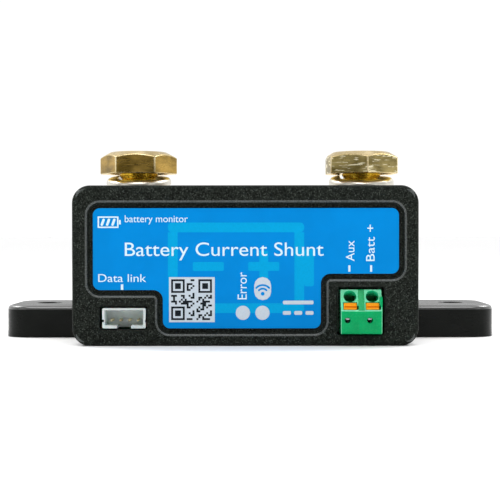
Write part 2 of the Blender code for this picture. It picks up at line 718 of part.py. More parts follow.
def make_socket():
    """The shrouded header, its mouth to the front, with a key slot below and a notch in each end."""
    half_width, half_height = SOCKET_SIZE[0] / 2, SOCKET_SIZE[1] / 2
    left, right = SOCKET_X - half_width, SOCKET_X + half_width
    bottom, top = SOCKET_Z - half_height, SOCKET_Z + half_height
    front, back = SOCKET_FRONT_Y, BOARD_FRONT_Y - GAP
    floor = back - SOCKET_FLOOR
    shroud = box("data_socket", (left, front, bottom), (right, back, top))
    socket = place("data_socket", shroud, "socket_white")
    mouth = box("mouth", (left + SOCKET_WALL, front - PAST, bottom + SOCKET_WALL),
                (right - SOCKET_WALL, floor, top - SOCKET_WALL + 0.15))
    combine(socket, mouth)
    half_key = SOCKET_KEY / 2
    key = box("key", (SOCKET_X - half_key, front - PAST, bottom - PAST),
              (SOCKET_X + half_key, floor - 0.2, bottom + SOCKET_WALL + 0.4))
    combine(socket, key)
    for x in (left, right):
        notch = box("notch", (x - 0.35, front - PAST, PIN_Z - 0.3), (x + 0.35, back - 2.5, PIN_Z + 0.3))
        combine(socket, notch)
    half = PIN_SIDE / 2
    for i, x in enumerate(pin_places()):
        hole = box("pin_way", (x - half - GAP, floor - 0.5, PIN_Z - half - GAP),
                   (x + half + GAP, back + PAST, PIN_Z + half + GAP))
        combine(socket, hole)
        tip = rectangle(x - 0.1, x + 0.1, PIN_Z - 0.1, PIN_Z + 0.1)
        shaft = rectangle(x - half, x + half, PIN_Z - half, PIN_Z + half)
        rings = [in_front_view(tip, PIN_TIP_Y), in_front_view(shaft, PIN_TIP_Y + 0.5),
                 in_front_view(shaft, BOARD_BACK_Y + 1.2)]
        place(f"data_pin_{i + 1}", new_mesh(f"data_pin_{i + 1}", rings), "gold")


# ---------------------------------------------------------------- clamp terminal


def clamp_profile():
    """The side view of the terminal: an upright lower front, then a face that slopes back."""
    back = BOARD_FRONT_Y - GAP
    foot_y, foot_z = CLAMP_FRONT_Y + CLAMP_STEP, CLAMP_LEDGE + CLAMP_STEP
    top_y = foot_y + (CLAMP_TOP - foot_z) * math.tan(CLAMP_SLOPE)
    return [
        (CLAMP_FRONT_Y, CLAMP_BOTTOM), (back, CLAMP_BOTTOM), (back, CLAMP_TOP), (top_y, CLAMP_TOP),
        (foot_y, foot_z), (CLAMP_FRONT_Y, CLAMP_LEDGE),
    ]


def slope_frame(name, x):
    """An empty at the foot of the slope, its +Y axis going straight in and its +Z axis up the slope."""
    frame = bpy.data.objects.new(name, None)
    bpy.context.scene.collection.objects.link(frame)
    frame.location = Vector((x, CLAMP_FRONT_Y + CLAMP_STEP, CLAMP_LEDGE + CLAMP_STEP)) * MM
    frame.rotation_euler = (-CLAMP_SLOPE, 0, 0)
    return frame


def strip(name, centreline, thickness, x, width):
    """A bent strip of even thickness that follows a line in the side view."""
    sides = []
    for sign in (1, -1):
        row = []
        for i, here in enumerate(centreline):
            before = Vector(centreline[max(i - 1, 0)])
            after = Vector(centreline[min(i + 1, len(centreline) - 1)])
            along = (after - before).normalized()
            row.append(Vector(here) + sign * thickness / 2 * Vector((-along.y, along.x)))
        sides.append(row)
    outline = sides[0] + sides[1][::-1]
    return new_mesh(name, [in_side_view(outline, x - width / 2), in_side_view(outline, x + width / 2)])


def make_clamp_terminal():
    profile = clamp_profile()
    half = CLAMP_WIDTH / 2
    mesh = new_mesh("clamp_body", [in_side_view(profile, CLAMP_X + x) for x in (-half, half)])
    body = place("clamp_body", mesh, "terminal_green")
    back = BOARD_FRONT_Y - GAP
    rib = box("side_rib", (CLAMP_X + half - 0.5, CLAMP_FRONT_Y + 0.6, CLAMP_LEDGE - 1.0),
              (CLAMP_X + half + 0.1, back - 1.0, CLAMP_TOP - 1.6))
    combine(body, rib, operation="UNION")
    across, into, up = BUTTON_SIZE
    entry = turned("wire_entry", [
        (ENTRY_RADIUS + 0.2, -PAST),
        (ENTRY_RADIUS + 0.08, 0.0),
        (ENTRY_RADIUS, 0.4),
        (ENTRY_RADIUS, 3.6),
    ], axis="Y", sides=24)
    slot_x, slot_z = across / 2 + BUTTON_FIT, up / 2 + BUTTON_FIT
    slot = box("button_slot", (-slot_x, -PAST, -slot_z), (slot_x, BUTTON_SLOT_DEPTH, slot_z))
    button = box("release_button", (-across / 2, 0, -up / 2), (across / 2, into, up / 2))
    groove = box("driver_groove", (-across / 2 + 0.35, -PAST, -0.45), (across / 2 + PAST, 0.35, -0.15))
    half_cavity, depth = CAVITY_SIZE[0] / 2, CAVITY_SIZE[1]
    low, high = CAVITY_HEIGHTS
    cavity = box("cavity", (-half_cavity, -depth, low), (half_cavity, PAST, high))
    test_ends = (CLAMP_FRONT_Y - PAST, back - depth + 0.4)
    test_hole = turned("test_hole", [(TEST_HOLE_RADIUS, y) for y in test_ends], axis="Y", sides=12)
    for end, x in pole_places().items():
        frame = slope_frame(f"slope_{end}", x)
        combine(body, entry, (0, 0, ENTRY_ALONG), parent=frame)
        combine(body, slot, (0, 0, BUTTON_ALONG), parent=frame)
        at = (0, 0, BUTTON_ALONG)
        release = place(f"release_button_{end}", button, "button_orange", at, parent=frame)
        combine(release, groove, at, parent=frame)
        combine(body, cavity, (x, back, 0))
        combine(body, test_hole, (x + TEST_HOLE_SHIFT, 0, TEST_HOLE_Z))
        make_contact(end, x, back, low)


def make_contact(end, x, back, low):
    """The leaf spring that grips the wire, and the contact whose leg is soldered through the board."""
    leaf = [(back - 0.45, low + 5.6), (back - 0.45, low + 1.9), (back - 0.65, low + 1.45),
            (back - 0.95, low + 1.5), (back - 1.1, low + 2.6)]
    place(f"clamp_spring_{end}", strip(f"clamp_spring_{end}", leaf, 0.25, x, 2.6), "plated_steel")
    leg = low + 0.6
    outline = [(back - 1.9, leg - 0.3), (BOARD_BACK_Y + 1.0, leg - 0.3), (BOARD_BACK_Y + 1.0, leg + 0.3),
               (back - 1.5, leg + 0.3), (back - 1.5, leg + 1.0), (back - 1.9, leg + 1.0)]
    mesh = new_mesh(f"clamp_contact_{end}", [in_side_view(outline, x + side) for side in (-0.5, 0.5)])
    place(f"clamp_contact_{end}", mesh, "plated_steel")


def main():
    clear_scene()
    make_base()
    make_plates()
    make_block_screws()
    for end, side in SIDES.items():
        make_block(f"terminal_block_{end}", side)
        make_bolt(end, side)
        make_flat_washer(end, side)
        make_spring_washer(end, side)
    make_shell()
    make_back_plate()
    make_housing_screws()
    make_label()
    make_board()
    make_standoffs()
    make_board_screws()
    make_board_parts()
    make_lights()
    make_socket()
    make_clamp_terminal()


main()
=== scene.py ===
"""Looks of the battery monitor shunt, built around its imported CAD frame.

Lengths are in millimetres until a mesh is made; +X is right, +Y away from the label side, +Z up.
"""
import json
from math import acos, atan, atan2, cos, hypot, pi, radians, sin, tan

import bmesh
import bpy
from mathutils import Matrix, Vector

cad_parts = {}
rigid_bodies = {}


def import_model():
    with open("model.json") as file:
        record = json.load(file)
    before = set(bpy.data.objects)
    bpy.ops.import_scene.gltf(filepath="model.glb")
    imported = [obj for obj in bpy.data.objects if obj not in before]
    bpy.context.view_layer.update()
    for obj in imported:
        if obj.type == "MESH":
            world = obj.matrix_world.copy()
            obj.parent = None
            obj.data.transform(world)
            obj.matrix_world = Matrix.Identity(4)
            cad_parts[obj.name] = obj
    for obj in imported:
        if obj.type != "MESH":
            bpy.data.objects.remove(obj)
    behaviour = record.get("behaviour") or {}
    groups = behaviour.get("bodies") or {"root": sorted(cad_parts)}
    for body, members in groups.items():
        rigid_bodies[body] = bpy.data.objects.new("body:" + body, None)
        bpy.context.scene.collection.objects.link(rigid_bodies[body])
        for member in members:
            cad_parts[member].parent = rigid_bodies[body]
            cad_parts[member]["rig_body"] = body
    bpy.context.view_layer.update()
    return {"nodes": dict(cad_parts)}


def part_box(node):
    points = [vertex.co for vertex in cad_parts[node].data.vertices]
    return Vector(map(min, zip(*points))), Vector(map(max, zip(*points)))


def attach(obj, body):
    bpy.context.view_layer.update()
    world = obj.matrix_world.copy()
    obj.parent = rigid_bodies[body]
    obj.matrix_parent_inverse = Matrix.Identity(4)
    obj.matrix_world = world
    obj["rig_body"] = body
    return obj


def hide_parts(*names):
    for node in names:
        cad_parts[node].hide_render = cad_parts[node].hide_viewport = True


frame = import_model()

MM = 0.001
SMOOTH = radians(38)
PAST = 1.0  # how far a cutter runs past the face it opens
GRAIN = 0.26  # size of the spark-eroded grain
HEAD_SEAT = 40.4  # underside of both bolt heads
SIDES = ("battery", "load")
POLES = ("aux", "battery")


def span(node):
    """Lowest and highest corner of a CAD node, in millimetres."""
    low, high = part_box(node)
    return low / MM, high / MM


def middle(node):
    low, high = span(node)
    return (low + high) / 2


# ---- materials


def material(name, colour, roughness, metallic=0.0, **sockets):
    """A Principled BSDF with constants straight on its sockets."""
    made = bpy.data.materials.new(name)
    made.use_nodes = True
    shader = made.node_tree.nodes["Principled BSDF"]
    shader.inputs["Base Color"].default_value = (*colour, 1)
    shader.inputs["Roughness"].default_value = roughness
    shader.inputs["Metallic"].default_value = metallic
    for socket, value in sockets.items():
        shader.inputs[socket.replace("_", " ")].default_value = value
    return made


def noise(made, size, stretch=(1, 1, 1), detail=3.0):
    """A noise pattern with features of about that size in millimetres, longer along a stretched axis."""
    nodes, links = made.node_tree.nodes, made.node_tree.links
    place = nodes.new("ShaderNodeTexCoord")
    fit = nodes.new("ShaderNodeMapping")
    fit.inputs["Scale"].default_value = [1 / (size * MM * s) for s in stretch]
    links.new(place.outputs["Object"], fit.inputs["Vector"])
    pattern = nodes.new("ShaderNodeTexNoise")
    pattern.inputs["Scale"].default_value = 1.0
    pattern.inputs["Detail"].default_value = detail
    links.new(fit.outputs["Vector"], pattern.inputs["Vector"])
    return pattern.outputs[0]


def vary(made, socket, low, high, size, between=(0.35, 0.65), **pattern):
    """Drives a socket from low to high with noise; low and high are colours or greys."""
    nodes, links = made.node_tree.nodes, made.node_tree.links
    ramp = nodes.new("ShaderNodeValToRGB")
    for stop, value, at in zip(ramp.color_ramp.elements, (low, high), between):
        stop.color = (*value, 1) if isinstance(value, tuple) else (value, value, value, 1)
        stop.position = at
    links.new(noise(made, size, **pattern), ramp.inputs["Fac"])
    links.new(ramp.outputs["Color"], nodes["Principled BSDF"].inputs[socket])


def overlay(made, colour, size, between, **pattern):
    """Lays a second colour over what drives the base colour, where the noise is high."""
    nodes, links = made.node_tree.nodes, made.node_tree.links
    target = nodes["Principled BSDF"].inputs["Base Color"]
    mix = nodes.new("ShaderNodeMix")
    mix.data_type = "RGBA"
    below, above = mix.inputs["A"], mix.inputs["B"]
    below.default_value = target.default_value[:]
    if target.is_linked:
        links.new(target.links[0].from_socket, below)
    above.default_value = (*colour, 1)
    ramp = nodes.new("ShaderNodeValToRGB")
    ramp.color_ramp.elements[0].position = between[0]
    ramp.color_ramp.elements[1].position = between[1]
    links.new(noise(made, size, **pattern), ramp.inputs["Fac"])
    links.new(ramp.outputs["Color"], mix.inputs["Factor"])
    links.new(mix.outputs["Result"], target)


def bump(made, size, depth, strength, **pattern):
    """Raises the surface by noise; each call adds to what is there already."""
    nodes, links = made.node_tree.nodes, made.node_tree.links
    normal = nodes["Principled BSDF"].inputs["Normal"]
    relief = nodes.new("ShaderNodeBump")
    relief.inputs["Distance"].default_value = depth * MM
    relief.inputs["Strength"].default_value = strength
    if normal.is_linked:
        links.new(normal.links[0].from_socket, relief.inputs["Normal"])
    links.new(noise(made, size, **pattern), relief.inputs["Height"])
    links.new(relief.outputs["Normal"], normal)


def grained_black():
    """Spark-eroded black moulding: fine grain with pale specks."""
    made = material("grained_black", (0.006, 0.008, 0.007), 0.62, Specular_IOR_Level=0.10)
    vary(made, "Base Color", (0.002, 0.003, 0.002), (0.014, 0.018, 0.014), 0.4, (0.38, 0.62), detail=4.0)
    overlay(made, (0.064, 0.074, 0.064), 0.27, (0.56, 0.72), detail=2.0)
    vary(made, "Roughness", 0.45, 0.75, 0.3, detail=4.0)
    bump(made, GRAIN, 0.05, 0.7)
    return made


def rim_highlight_black():
    """The same moulding on the rounded edge of the label's recess, smoother and lighter: the lighter colour
    is a painted highlight along that edge.
    """
    made = material("rim_highlight_black", (0.036, 0.040, 0.038), 0.42, Specular_IOR_Level=0.35)
    vary(made, "Base Color", (0.026, 0.032, 0.030), (0.105, 0.115, 0.110), 0.30, detail=4.0)
    bump(made, GRAIN, 0.012, 0.6)
    return made


def glossy_black():
    """Polished black moulding with a slight swell and hairline scuffs."""
    made = material("glossy_black", (0.003, 0.004, 0.003), 0.30, Specular_IOR_Level=0.14)
    vary(made, "Base Color", (0.002, 0.003, 0.002), (0.005, 0.006, 0.005), 9.0)
    vary(made, "Roughness", 0.24, 0.36, 2.2, (0.35, 0.75), stretch=(4, 1, 1), detail=6.0)
    bump(made, 6.0, 0.02, 0.5)
    bump(made, 0.25, 0.002, 0.5, stretch=(5, 1, 1))
    return made


def polished_edge():
    """The base's rounded top edge, rubbed to a high shine."""
    made = material("polished_edge", (0.004, 0.005, 0.004), 0.34, Specular_IOR_Level=1.0, Coat_Weight=1.0,
                    Coat_Roughness=0.34)
    vary(made, "Roughness", 0.28, 0.44, 1.5, (0.35, 0.75), stretch=(4, 1, 1), detail=5.0)
    bump(made, 2.5, 0.006, 0.5)
    return made


def brass(name, dull, bright, rough, streak=(6, 6, 1), worn=(0.60, 0.72), shine=None):
    """Turned or milled brass: tarnish in patches, tool marks along the streak, and worn bright streaks."""
    made = material(name, bright, rough, 1.0)
    vary(made, "Base Color", dull, bright, 3.2, (0.38, 0.70), stretch=(1.6, 1.6, 1), detail=6.0)
    overlay(made, shine or bright, 0.5, worn, stretch=streak, detail=4.0)
    vary(made, "Roughness", rough - 0.07, rough + 0.13, 0.8, stretch=streak, detail=5.0)
    bump(made, 0.35, 0.02, 0.6, stretch=streak, detail=4.0)
    bump(made, 2.4, 0.05, 0.45, detail=2.0)
    return made


def plated(name, colour, rough):
    """Nickel or zinc plate: nearly even, with faint clouds and fine pits."""
    made = material(name, colour, rough, 1.0)
    dull = tuple(c * 0.82 for c in colour)
    vary(made, "Base Color", dull, colour, 1.6, (0.30, 0.60), detail=5.0)
    vary(made, "Roughness", rough - 0.04, rough + 0.10, 0.9, detail=4.0)
    bump(made, 0.4, 0.001, 0.4)
    return made


def rolled_sheet():
    """Manganin sheet, brushed along its length."""
    made = material("rolled_manganin", (0.55, 0.36, 0.25), 0.36, 1.0)
    vary(made, "Base Color", (0.47, 0.31, 0.22), (0.60, 0.42, 0.31), 2.0, stretch=(9, 1, 1), detail=6.0)
    vary(made, "Roughness", 0.28, 0.48, 0.25, stretch=(30, 1, 1))
    bump(made, 0.12, 0.008, 0.6, stretch=(40, 1, 1))
    return made


def nylon(name, colour, rough=0.42, tint=0.82, *, gloss):
    """Moulded nylon: slightly translucent look, fine matt skin."""
    made = material(name, colour, rough, Subsurface_Weight=0.12, Subsurface_Scale=0.6 * MM,
                    Specular_IOR_Level=gloss)
    vary(made, "Base Color", tuple(c * tint for c in colour), colour, 2.4, detail=4.0)
    vary(made, "Roughness", rough - 0.08, rough + 0.12, 0.5)
    bump(made, 0.18, 0.008, 0.5)
    return made


def ink(name, colour):
    """Printing ink: even colour with a trace of dot pattern."""
    made = material(name, colour, 0.5, Specular_IOR_Level=0.06)
    vary(made, "Base Color", tuple(c * 0.94 for c in colour), colour, 0.35, detail=2.0)
    bump(made, 0.25, 0.003, 0.4)
    return made


def laminate():
    """Green solder resist over a woven board."""
    made = material("solder_resist", (0.015, 0.13, 0.05), 0.34, Coat_Weight=0.4, Coat_Roughness=0.2)
    vary(made, "Base Color", (0.010, 0.10, 0.04), (0.02, 0.16, 0.06), 1.2, (0.45, 0.55))
    bump(made, 0.5, 0.012, 0.5, stretch=(1, 1, 6))
    return made


def plain(name, colour, rough, roughs, relief, metallic=0.0, **sockets):
    """An even colour; roughs is what vary needs for its roughness, relief what bump needs."""
    made = material(name, colour, rough, metallic, **sockets)
    vary(made, "Roughness", *roughs)
    bump(made, *relief)
    return made


def pale():
    """The studio floor: plain, with a trace of unevenness."""
    level = 0.90
    made = material("studio_pale", (level,) * 3, 0.85, Specular_IOR_Level=0.2)
    vary(made, "Base Color", (level * 0.985,) * 3, (level,) * 3, 60.0)
    return made


GRAINED_BLACK = grained_black()
# a lighter black for the recess rim: a painted highlight
RIM_HIGHLIGHT_BLACK = rim_highlight_black()
GLOSSY_BLACK = glossy_black()
POLISHED_EDGE = polished_edge()
HEAD_BRASS = {
    "battery": brass("tarnished_brass", (0.20, 0.13, 0.025), (0.56, 0.36, 0.085), 0.30),
    "load": brass("streaked_brass", (0.18, 0.14, 0.045), (0.50, 0.40, 0.16), 0.34, worn=(0.56, 0.62),
                  shine=(0.98, 0.90, 0.62)),
}
# lighter brass for the head's chamfer, top and corners: wear, and a painted highlight
WORN_AND_HIGHLIT_BRASS = brass("worn_and_highlit_brass", (0.40, 0.30, 0.12), (0.74, 0.60, 0.34), 0.30, streak=(2, 2, 1))
CORNER_WEAR_AND_HIGHLIGHT_BRASS = brass("corner_wear_and_highlight_brass", (0.60, 0.47, 0.22), (0.96, 0.84, 0.55), 0.46, streak=(2, 2, 1))
# saturated yellow brass for the shank and the head's underside: a painted reflection between head and shank
SHANK_REFLECTION_BRASS = brass("shank_brass_painted_reflection", (0.62, 0.40, 0.03), (0.92, 0.64, 0.07), 0.26, streak=(1, 1, 1))
BLOCK_BRASS = brass("milled_brass", (0.62, 0.45, 0.17), (0.80, 0.60, 0.26), 0.26, streak=(12, 12, 0.6))
NICKEL = plated("nickel_plate", (0.62, 0.60, 0.54), 0.22)
SATIN_NICKEL = plated("satin_nickel", (0.72, 0.69, 0.61), 0.35)
STEEL = plated("zinc_plate", (0.62, 0.63, 0.64), 0.28)
GOLD = plated("gold_flash", (1.0, 0.88, 0.58), 0.60)
MANGANIN = rolled_sheet()
SOLDER = plain("solder", (0.62, 0.60, 0.56), 0.3, (0.2, 0.5, 0.6), (0.7, 0.06, 0.6), 1.0)
vary(SOLDER, "Base Color", (0.40, 0.38, 0.35), (0.70, 0.68, 0.65), 0.9, detail=5.0)
WHITE_NYLON = nylon("socket_nylon", (0.72, 0.79, 0.78), gloss=0.10)
GREEN_NYLON = nylon("terminal_nylon", (0.0, 0.42, 0.130), 0.22, gloss=0.12)
# lighter copies of the terminal's green: painted light on the slope and the funnel walls, a painted
# highlight on the edges
LIT_SLOPE_GREEN = nylon("terminal_slope_lit", (0.02, 0.60, 0.27), 0.20, gloss=0.40)
EDGE_HIGHLIGHT_GREEN = nylon("terminal_edge_highlight", (0.20, 0.80, 0.46), 0.25, gloss=0.40)
ORANGE_NYLON = nylon("button_nylon", (0.96, 0.34, 0.0), 0.36, 0.9, gloss=0.08)
FILM = plain("label_film", (0.0, 0.265, 0.75), 0.42, (0.36, 0.48, 0.6), (0.5, 0.004, 0.4),
             Specular_IOR_Level=0.05)
vary(FILM, "Base Color", (0.0, 0.232, 0.645), (0.0, 0.250, 0.690), 7.0, detail=5.0)
PRINT_PALE = ink("print_pale", (0.70, 0.88, 0.97))
PRINT_GREY = ink("print_grey", (0.60, 0.67, 0.74))
PRINT_DARK = ink("print_dark", (0.012, 0.016, 0.020))
PRINT_CYAN = ink("print_cyan", (0.0, 0.37, 0.72))
RESIST = laminate()
EPOXY = plain("chip_epoxy", (0.02, 0.02, 0.021), 0.6, (0.5, 0.72, 0.2), (0.12, 0.01, 0.5))
FROSTED = plain("frosted_clear", (0.80, 0.84, 0.86), 0.35, (0.28, 0.5, 0.5), (0.3, 0.006, 0.4),
                Transmission_Weight=0.5)


# ---- mesh helpers


def outline(corners, radii, grow=0.0, *, steps):
    """Anticlockwise corners with round corners, the whole outline grown outwards by a distance."""
    points = []
    count = len(corners)
    for i, radius in enumerate(radii):
        here = Vector(corners[i])
        into = (here - Vector(corners[i - 1])).normalized()
        out = (Vector(corners[(i + 1) % count]) - here).normalized()
        before, after = Vector((into.y, -into.x)), Vector((out.y, -out.x))
        here += grow * (before + after) / (1 + before.dot(after))
        angle = atan2(into.x * out.y - into.y * out.x, into.dot(out))
        bend = 1 if angle > 0 else -1
        turned = max(radius + bend * grow, 0.01)
        start = here - into * turned * tan(abs(angle) / 2)
        arm = before * bend * turned
        centre = start - arm
        for step in range(steps + 1):
            points.append(centre + Matrix.Rotation(angle * step / steps, 2) @ arm)
    return points


def growing(corners, radii, steps):
    """An outline as a function of how far it is grown."""
    return lambda grow: outline(corners, radii, grow, steps=steps)


def rectangle(left, right, bottom, top):
    return [(left, bottom), (right, bottom), (right, top), (left, top)]


def plan(points, z):
    return [(x, y, z) for x, y in points]


def front_view(points, y):
    return [(x, y, z) for x, z in points]


def side_view(points, x):
    return [(x, y, z) for y, z in points]


def finished(name, shape):
    """The mesh of a bmesh that is no longer needed."""
    mesh = bpy.data.meshes.new(name)
    shape.to_mesh(mesh)
    shape.free()
    return mesh


def skin(name, rings, loop=False):
    """A closed skin over rings of points, capped at both ends or joined round in a loop."""
    shape = bmesh.new()
    rows = [[shape.verts.new(Vector(p) * MM) for p in ring] for ring in rings]
    count = len(rows[0])
    for low, high in zip(rows, rows[1:] + rows[:1] if loop else rows[1:]):
        for i in range(count):
            j = (i + 1) % count
            shape.faces.new((low[i], low[j], high[j], high[i]))
    if not loop:
        shape.faces.new(rows[0])
        shape.faces.new(rows[-1])
    bmesh.ops.recalc_face_normals(shape, faces=shape.faces)
    return finished(name, shape)


def edge_steps(radius, steps):
    """(inward, along) pairs of a quarter round, from the end face to the side."""
    turns = [pi / 2 * i / steps for i in range(steps + 1)]
    return [(radius * (1 - sin(a)), radius * (1 - cos(a))) for a in turns]


def slab(name, shape, view, start, end, start_edge, end_edge, steps):
    """An outline drawn out between two levels, with round edges; shape(grow) gives the outline."""
    way = 1 if end > start else -1
    rings = [view(shape(-inward), start + way * along) for inward, along in edge_steps(start_edge, steps)]
    back = [view(shape(-inward), end - way * along) for inward, along in edge_steps(end_edge, steps)]
    return skin(name, rings + back[::-1])


def circle(radius, sides):
    turns = [2 * pi * i / sides for i in range(sides)]
    return [(radius * cos(a), radius * sin(a)) for a in turns]


def turned(name, profile, view=plan, sides=64, loop=False):
    """A piece turned from (radius, height) steps, upright or, with front_view, along +Y."""
    return skin(name, [view(circle(radius, sides), height) for radius, height in profile], loop)


def box_mesh(name, low, high):
    return skin(name, [plan(rectangle(low[0], high[0], low[1], high[1]), z) for z in (low[2], high[2])])


def shown(name, data):
    """An object in the scene for a mesh, curve, lamp or camera."""
    made = bpy.data.objects.new(name, data)
    bpy.context.scene.collection.objects.link(made)
    return made


def put(name, mesh, paint, at=(0, 0, 0), turn=(0, 0, 0)):
    """A shown mesh at a place in millimetres."""
    piece = shown(name, mesh)
    piece.location = Vector(at) * MM
    piece.rotation_euler = turn
    if not mesh.materials:
        mesh.materials.append(paint)
    return piece


def settle(piece):
    """Bakes the modifiers into the mesh."""
    bpy.context.view_layer.update()
    graph = bpy.context.evaluated_depsgraph_get()
    mesh = bpy.data.meshes.new_from_object(piece.evaluated_get(graph))
    piece.modifiers.clear()
    piece.data = mesh


def carve(piece, cutters, operation="DIFFERENCE"):
    """Cuts meshes from the piece, or joins them on; a cutter is a mesh, maybe with a place and a turn."""
    helpers = []
    for cutter in cutters:
        mesh, *place = cutter if isinstance(cutter, tuple) else (cutter,)
        helper = put("helper", mesh, piece.data.materials[0], *place)
        step = piece.modifiers.new("carve", "BOOLEAN")
        step.operation = operation
        step.object = helper
        helpers.append(helper)
    settle(piece)
    for helper in helpers:
        bpy.data.objects.remove(helper)


def bevel(piece, width):
    step = piece.modifiers.new("edges", "BEVEL")
    step.width = width * MM
    step.segments = 2
    step.limit_method = "ANGLE"
    step.angle_limit = radians(32)
    settle(piece)


def smooth(piece):
    """Smooth shading that keeps flat faces flat."""
    piece.data.shade_smooth()
    piece.data.set_sharp_from_angle(angle=SMOOTH)
    even = piece.modifiers.new("normals", "WEIGHTED_NORMAL")
    even.keep_sharp = True


def hand_over(piece, node):
    """Gives the piece to the node's body, in the node's stead."""
    smooth(piece)
    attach(piece, frame["nodes"][node]["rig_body"])
    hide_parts(node)


def dress(node, paint, width):
    """A copy of a CAD node with its flat faces whole and its edges broken."""
    shape = bmesh.new()
    shape.from_mesh(frame["nodes"][node].data)
    bmesh.ops.remove_doubles(shape, verts=shape.verts, dist=0.002 * MM)
    bmesh.ops.dissolve_limit(shape, angle_limit=radians(1), verts=shape.verts, edges=shape.edges)
    piece = put(node + "_finished", finished(node, shape), paint)
    bevel(piece, width)
    hand_over(piece, node)


# ---- base and shunt


def make_base():
    """The moulding: two ears with their holes, and a raised seat with the four screw wells under it."""
    low, high = span("mounting_base")
    ear_top, seat_top = 7.8, high.z
    corner, foot_edge, ear_edge = 6.0, 0.1, 1.0
    seat_half, seat_inset, seat_edge = 40.5, 0.4, 0.2
    hole_place, hole, hole_flare = 51.0, 3.0, 0.2
    well, well_depth, screw_way = 4.0, 3.8, 2.3
    shape = growing(rectangle(low.x, high.x, low.y, high.y), [corner] * 4, 16)
    mesh = slab("base", shape, plan, 0, ear_top, foot_edge, ear_edge, 8)
    mesh.materials.append(GLOSSY_BLACK)
    mesh.materials.append(POLISHED_EDGE)
    for face in mesh.polygons:
        face.material_index = 1 if ear_top - ear_edge < face.center.z / MM < ear_top - 0.01 else 0
    piece = put("base_moulding", mesh, GLOSSY_BLACK)
    seat = rectangle(-seat_half, seat_half, low.y + seat_inset, high.y - seat_inset)
    seat_shape = growing(seat, [seat_inset] * 4, 3)
    carve(piece, [slab("seat", seat_shape, plan, ear_top / 2, seat_top, 0, seat_edge, 3)], "UNION")
    ear_hole = turned("ear_hole", [
        (hole + 2 * hole_flare, -PAST), (hole, hole_flare), (hole, ear_top - hole_flare),
        (hole + hole_flare, ear_top), (hole + hole_flare, ear_top + PAST),
    ])
    y = middle("terminal_bolt_battery").y
    cutters = [(ear_hole, (side * hole_place, y, 0)) for side in (-1, 1)]
    screw_well = turned("screw_well", [
        (well + 0.4, -PAST), (well, 0.3), (well, well_depth),
        (screw_way, well_depth), (screw_way, seat_top + PAST),
    ], sides=48)
    for i in range(4):
        at = middle(f"block_screw_{i + 1}")
        cutters.append((screw_well, (at.x, at.y, 0)))
    carve(piece, cutters)
    hand_over(piece, "mounting_base")


def cross_recess(radius, depth):
    """The two bars of a cross recess, cutting down from height 0 along -Z, as cutters."""
    bars = []
    for turn in (0, pi / 2):
        rings = []
        for half_long, half_wide, z in ((0.35, 0.10, -depth), (0.62, 0.17, PAST)):
            x, y = radius * half_long, radius * half_wide
            rings.append(plan(rectangle(-x, x, -y, y), z))
        bars.append((skin("recess", rings), (0, 0, 0), (0, 0, turn)))
    return bars


def screw_mesh(name, profile, head_radius, recess_depth, paint):
    """A turned screw with its head up at height 0 and a cross recess in it."""
    piece = put(name, turned(name, profile, sides=40), paint)
    carve(piece, cross_recess(head_radius, recess_depth))
    mesh = piece.data
    bpy.data.objects.remove(piece)
    return mesh


def pan_profile(head_radius, head_height, radius, length):
    """A screw with a domed pan head; height 0 is the top of the head."""
    dome, tip = 0.55 * head_height, 0.6
    turns = [pi / 2 * i / 8 for i in range(1, 9)]
    steps = [(head_radius * sin(a), dome * (cos(a) - 1)) for a in turns]
    shank = [(radius, -head_height), (radius, tip - length), (radius - tip, -length)]
    return steps + [(head_radius, -head_height)] + shank


def place_screws(node, name, mesh, turns):
    """The screw at each of four nodes, its head at the node's foot or, where it lies down, at its back."""
    for i, turn in enumerate(turns):
        at = middle(f"{node}_{i + 1}")
        low, high = span(f"{node}_{i + 1}")
        seat = (at.x, at.y, low.z) if turn[0] > 0 else (at.x, high.y, at.z)
        hand_over(put(f"{name}_{i + 1}", mesh, STEEL, seat, turn), f"{node}_{i + 1}")


def make_block_screws():
    low, high = span("block_screw_1")
    head, head_height, radius, recess = 3.5, 2.6, 2.0, 1.4
    profile = pan_profile(head, head_height, radius, high.z - low.z)
    mesh = screw_mesh("block_screw", profile, head, recess, STEEL)
    place_screws("block_screw", "base_screw", mesh, [(pi, 0, radians(20 + 31 * i)) for i in range(4)])


def make_housing_screws():
    low, high = span("housing_screw_1")
    length = high.y - low.y
    head, radius, recess = 2.2, 1.2, 0.9
    profile = [(head - 0.6, 0.0), (head - 0.1, -0.12), (head, -0.3), (radius, -1.2), (radius, 1.2 - length),
               (0.4, -length)]
    mesh = screw_mesh("cover_screw", profile, head, recess, STEEL)
    turns = [(-pi / 2, radians(15 + 40 * i), 0) for i in range(4)]
    place_screws("housing_screw", "cover_screw", mesh, turns)


def make_solder():
    """A fillet of solder down both sides of each plate, where it enters its block."""
    bead, ripple, sunk, short, steps = 0.75, 0.16, 0.1, 0.2, 12
    for i in range(4):
        plate_low, plate_high = span(f"resistor_plate_{i + 1}")
        tall = plate_high.z - plate_low.z - 2 * short
        for side, end in zip((-1, 1), SIDES):
            block_low, block_high = span(f"terminal_block_{end}")
            face = block_high.x if side < 0 else block_low.x
            inside = face + side * 0.3
            for way, y, place in ((-1, plate_low.y, "front"), (1, plate_high.y, "back")):
                rings = []
                for step in range(steps + 1):
                    z = plate_low.z + short + tall * step / steps
                    size = bead + ripple * sin(2.6 * step + 1.7 * i + side + way)
                    toe, crown = face - side * size, face - side * size * 0.35
                    rings.append([(inside, y - way * sunk, z), (inside, y + way * size, z),
                                  (crown, y + way * size * 0.30, z), (toe, y - way * sunk, z)])
                piece = put(f"solder_{end}_{i + 1}_{place}", skin("solder", rings), SOLDER)
                smooth(piece)
                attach(piece, "root")


def make_blocks():
    for end in SIDES:
        dress(f"terminal_block_{end}", BLOCK_BRASS, 0.35)
    for i in range(4):
        dress(f"resistor_plate_{i + 1}", MANGANIN, 0.15)
    make_solder()


# ---- bolts and washers


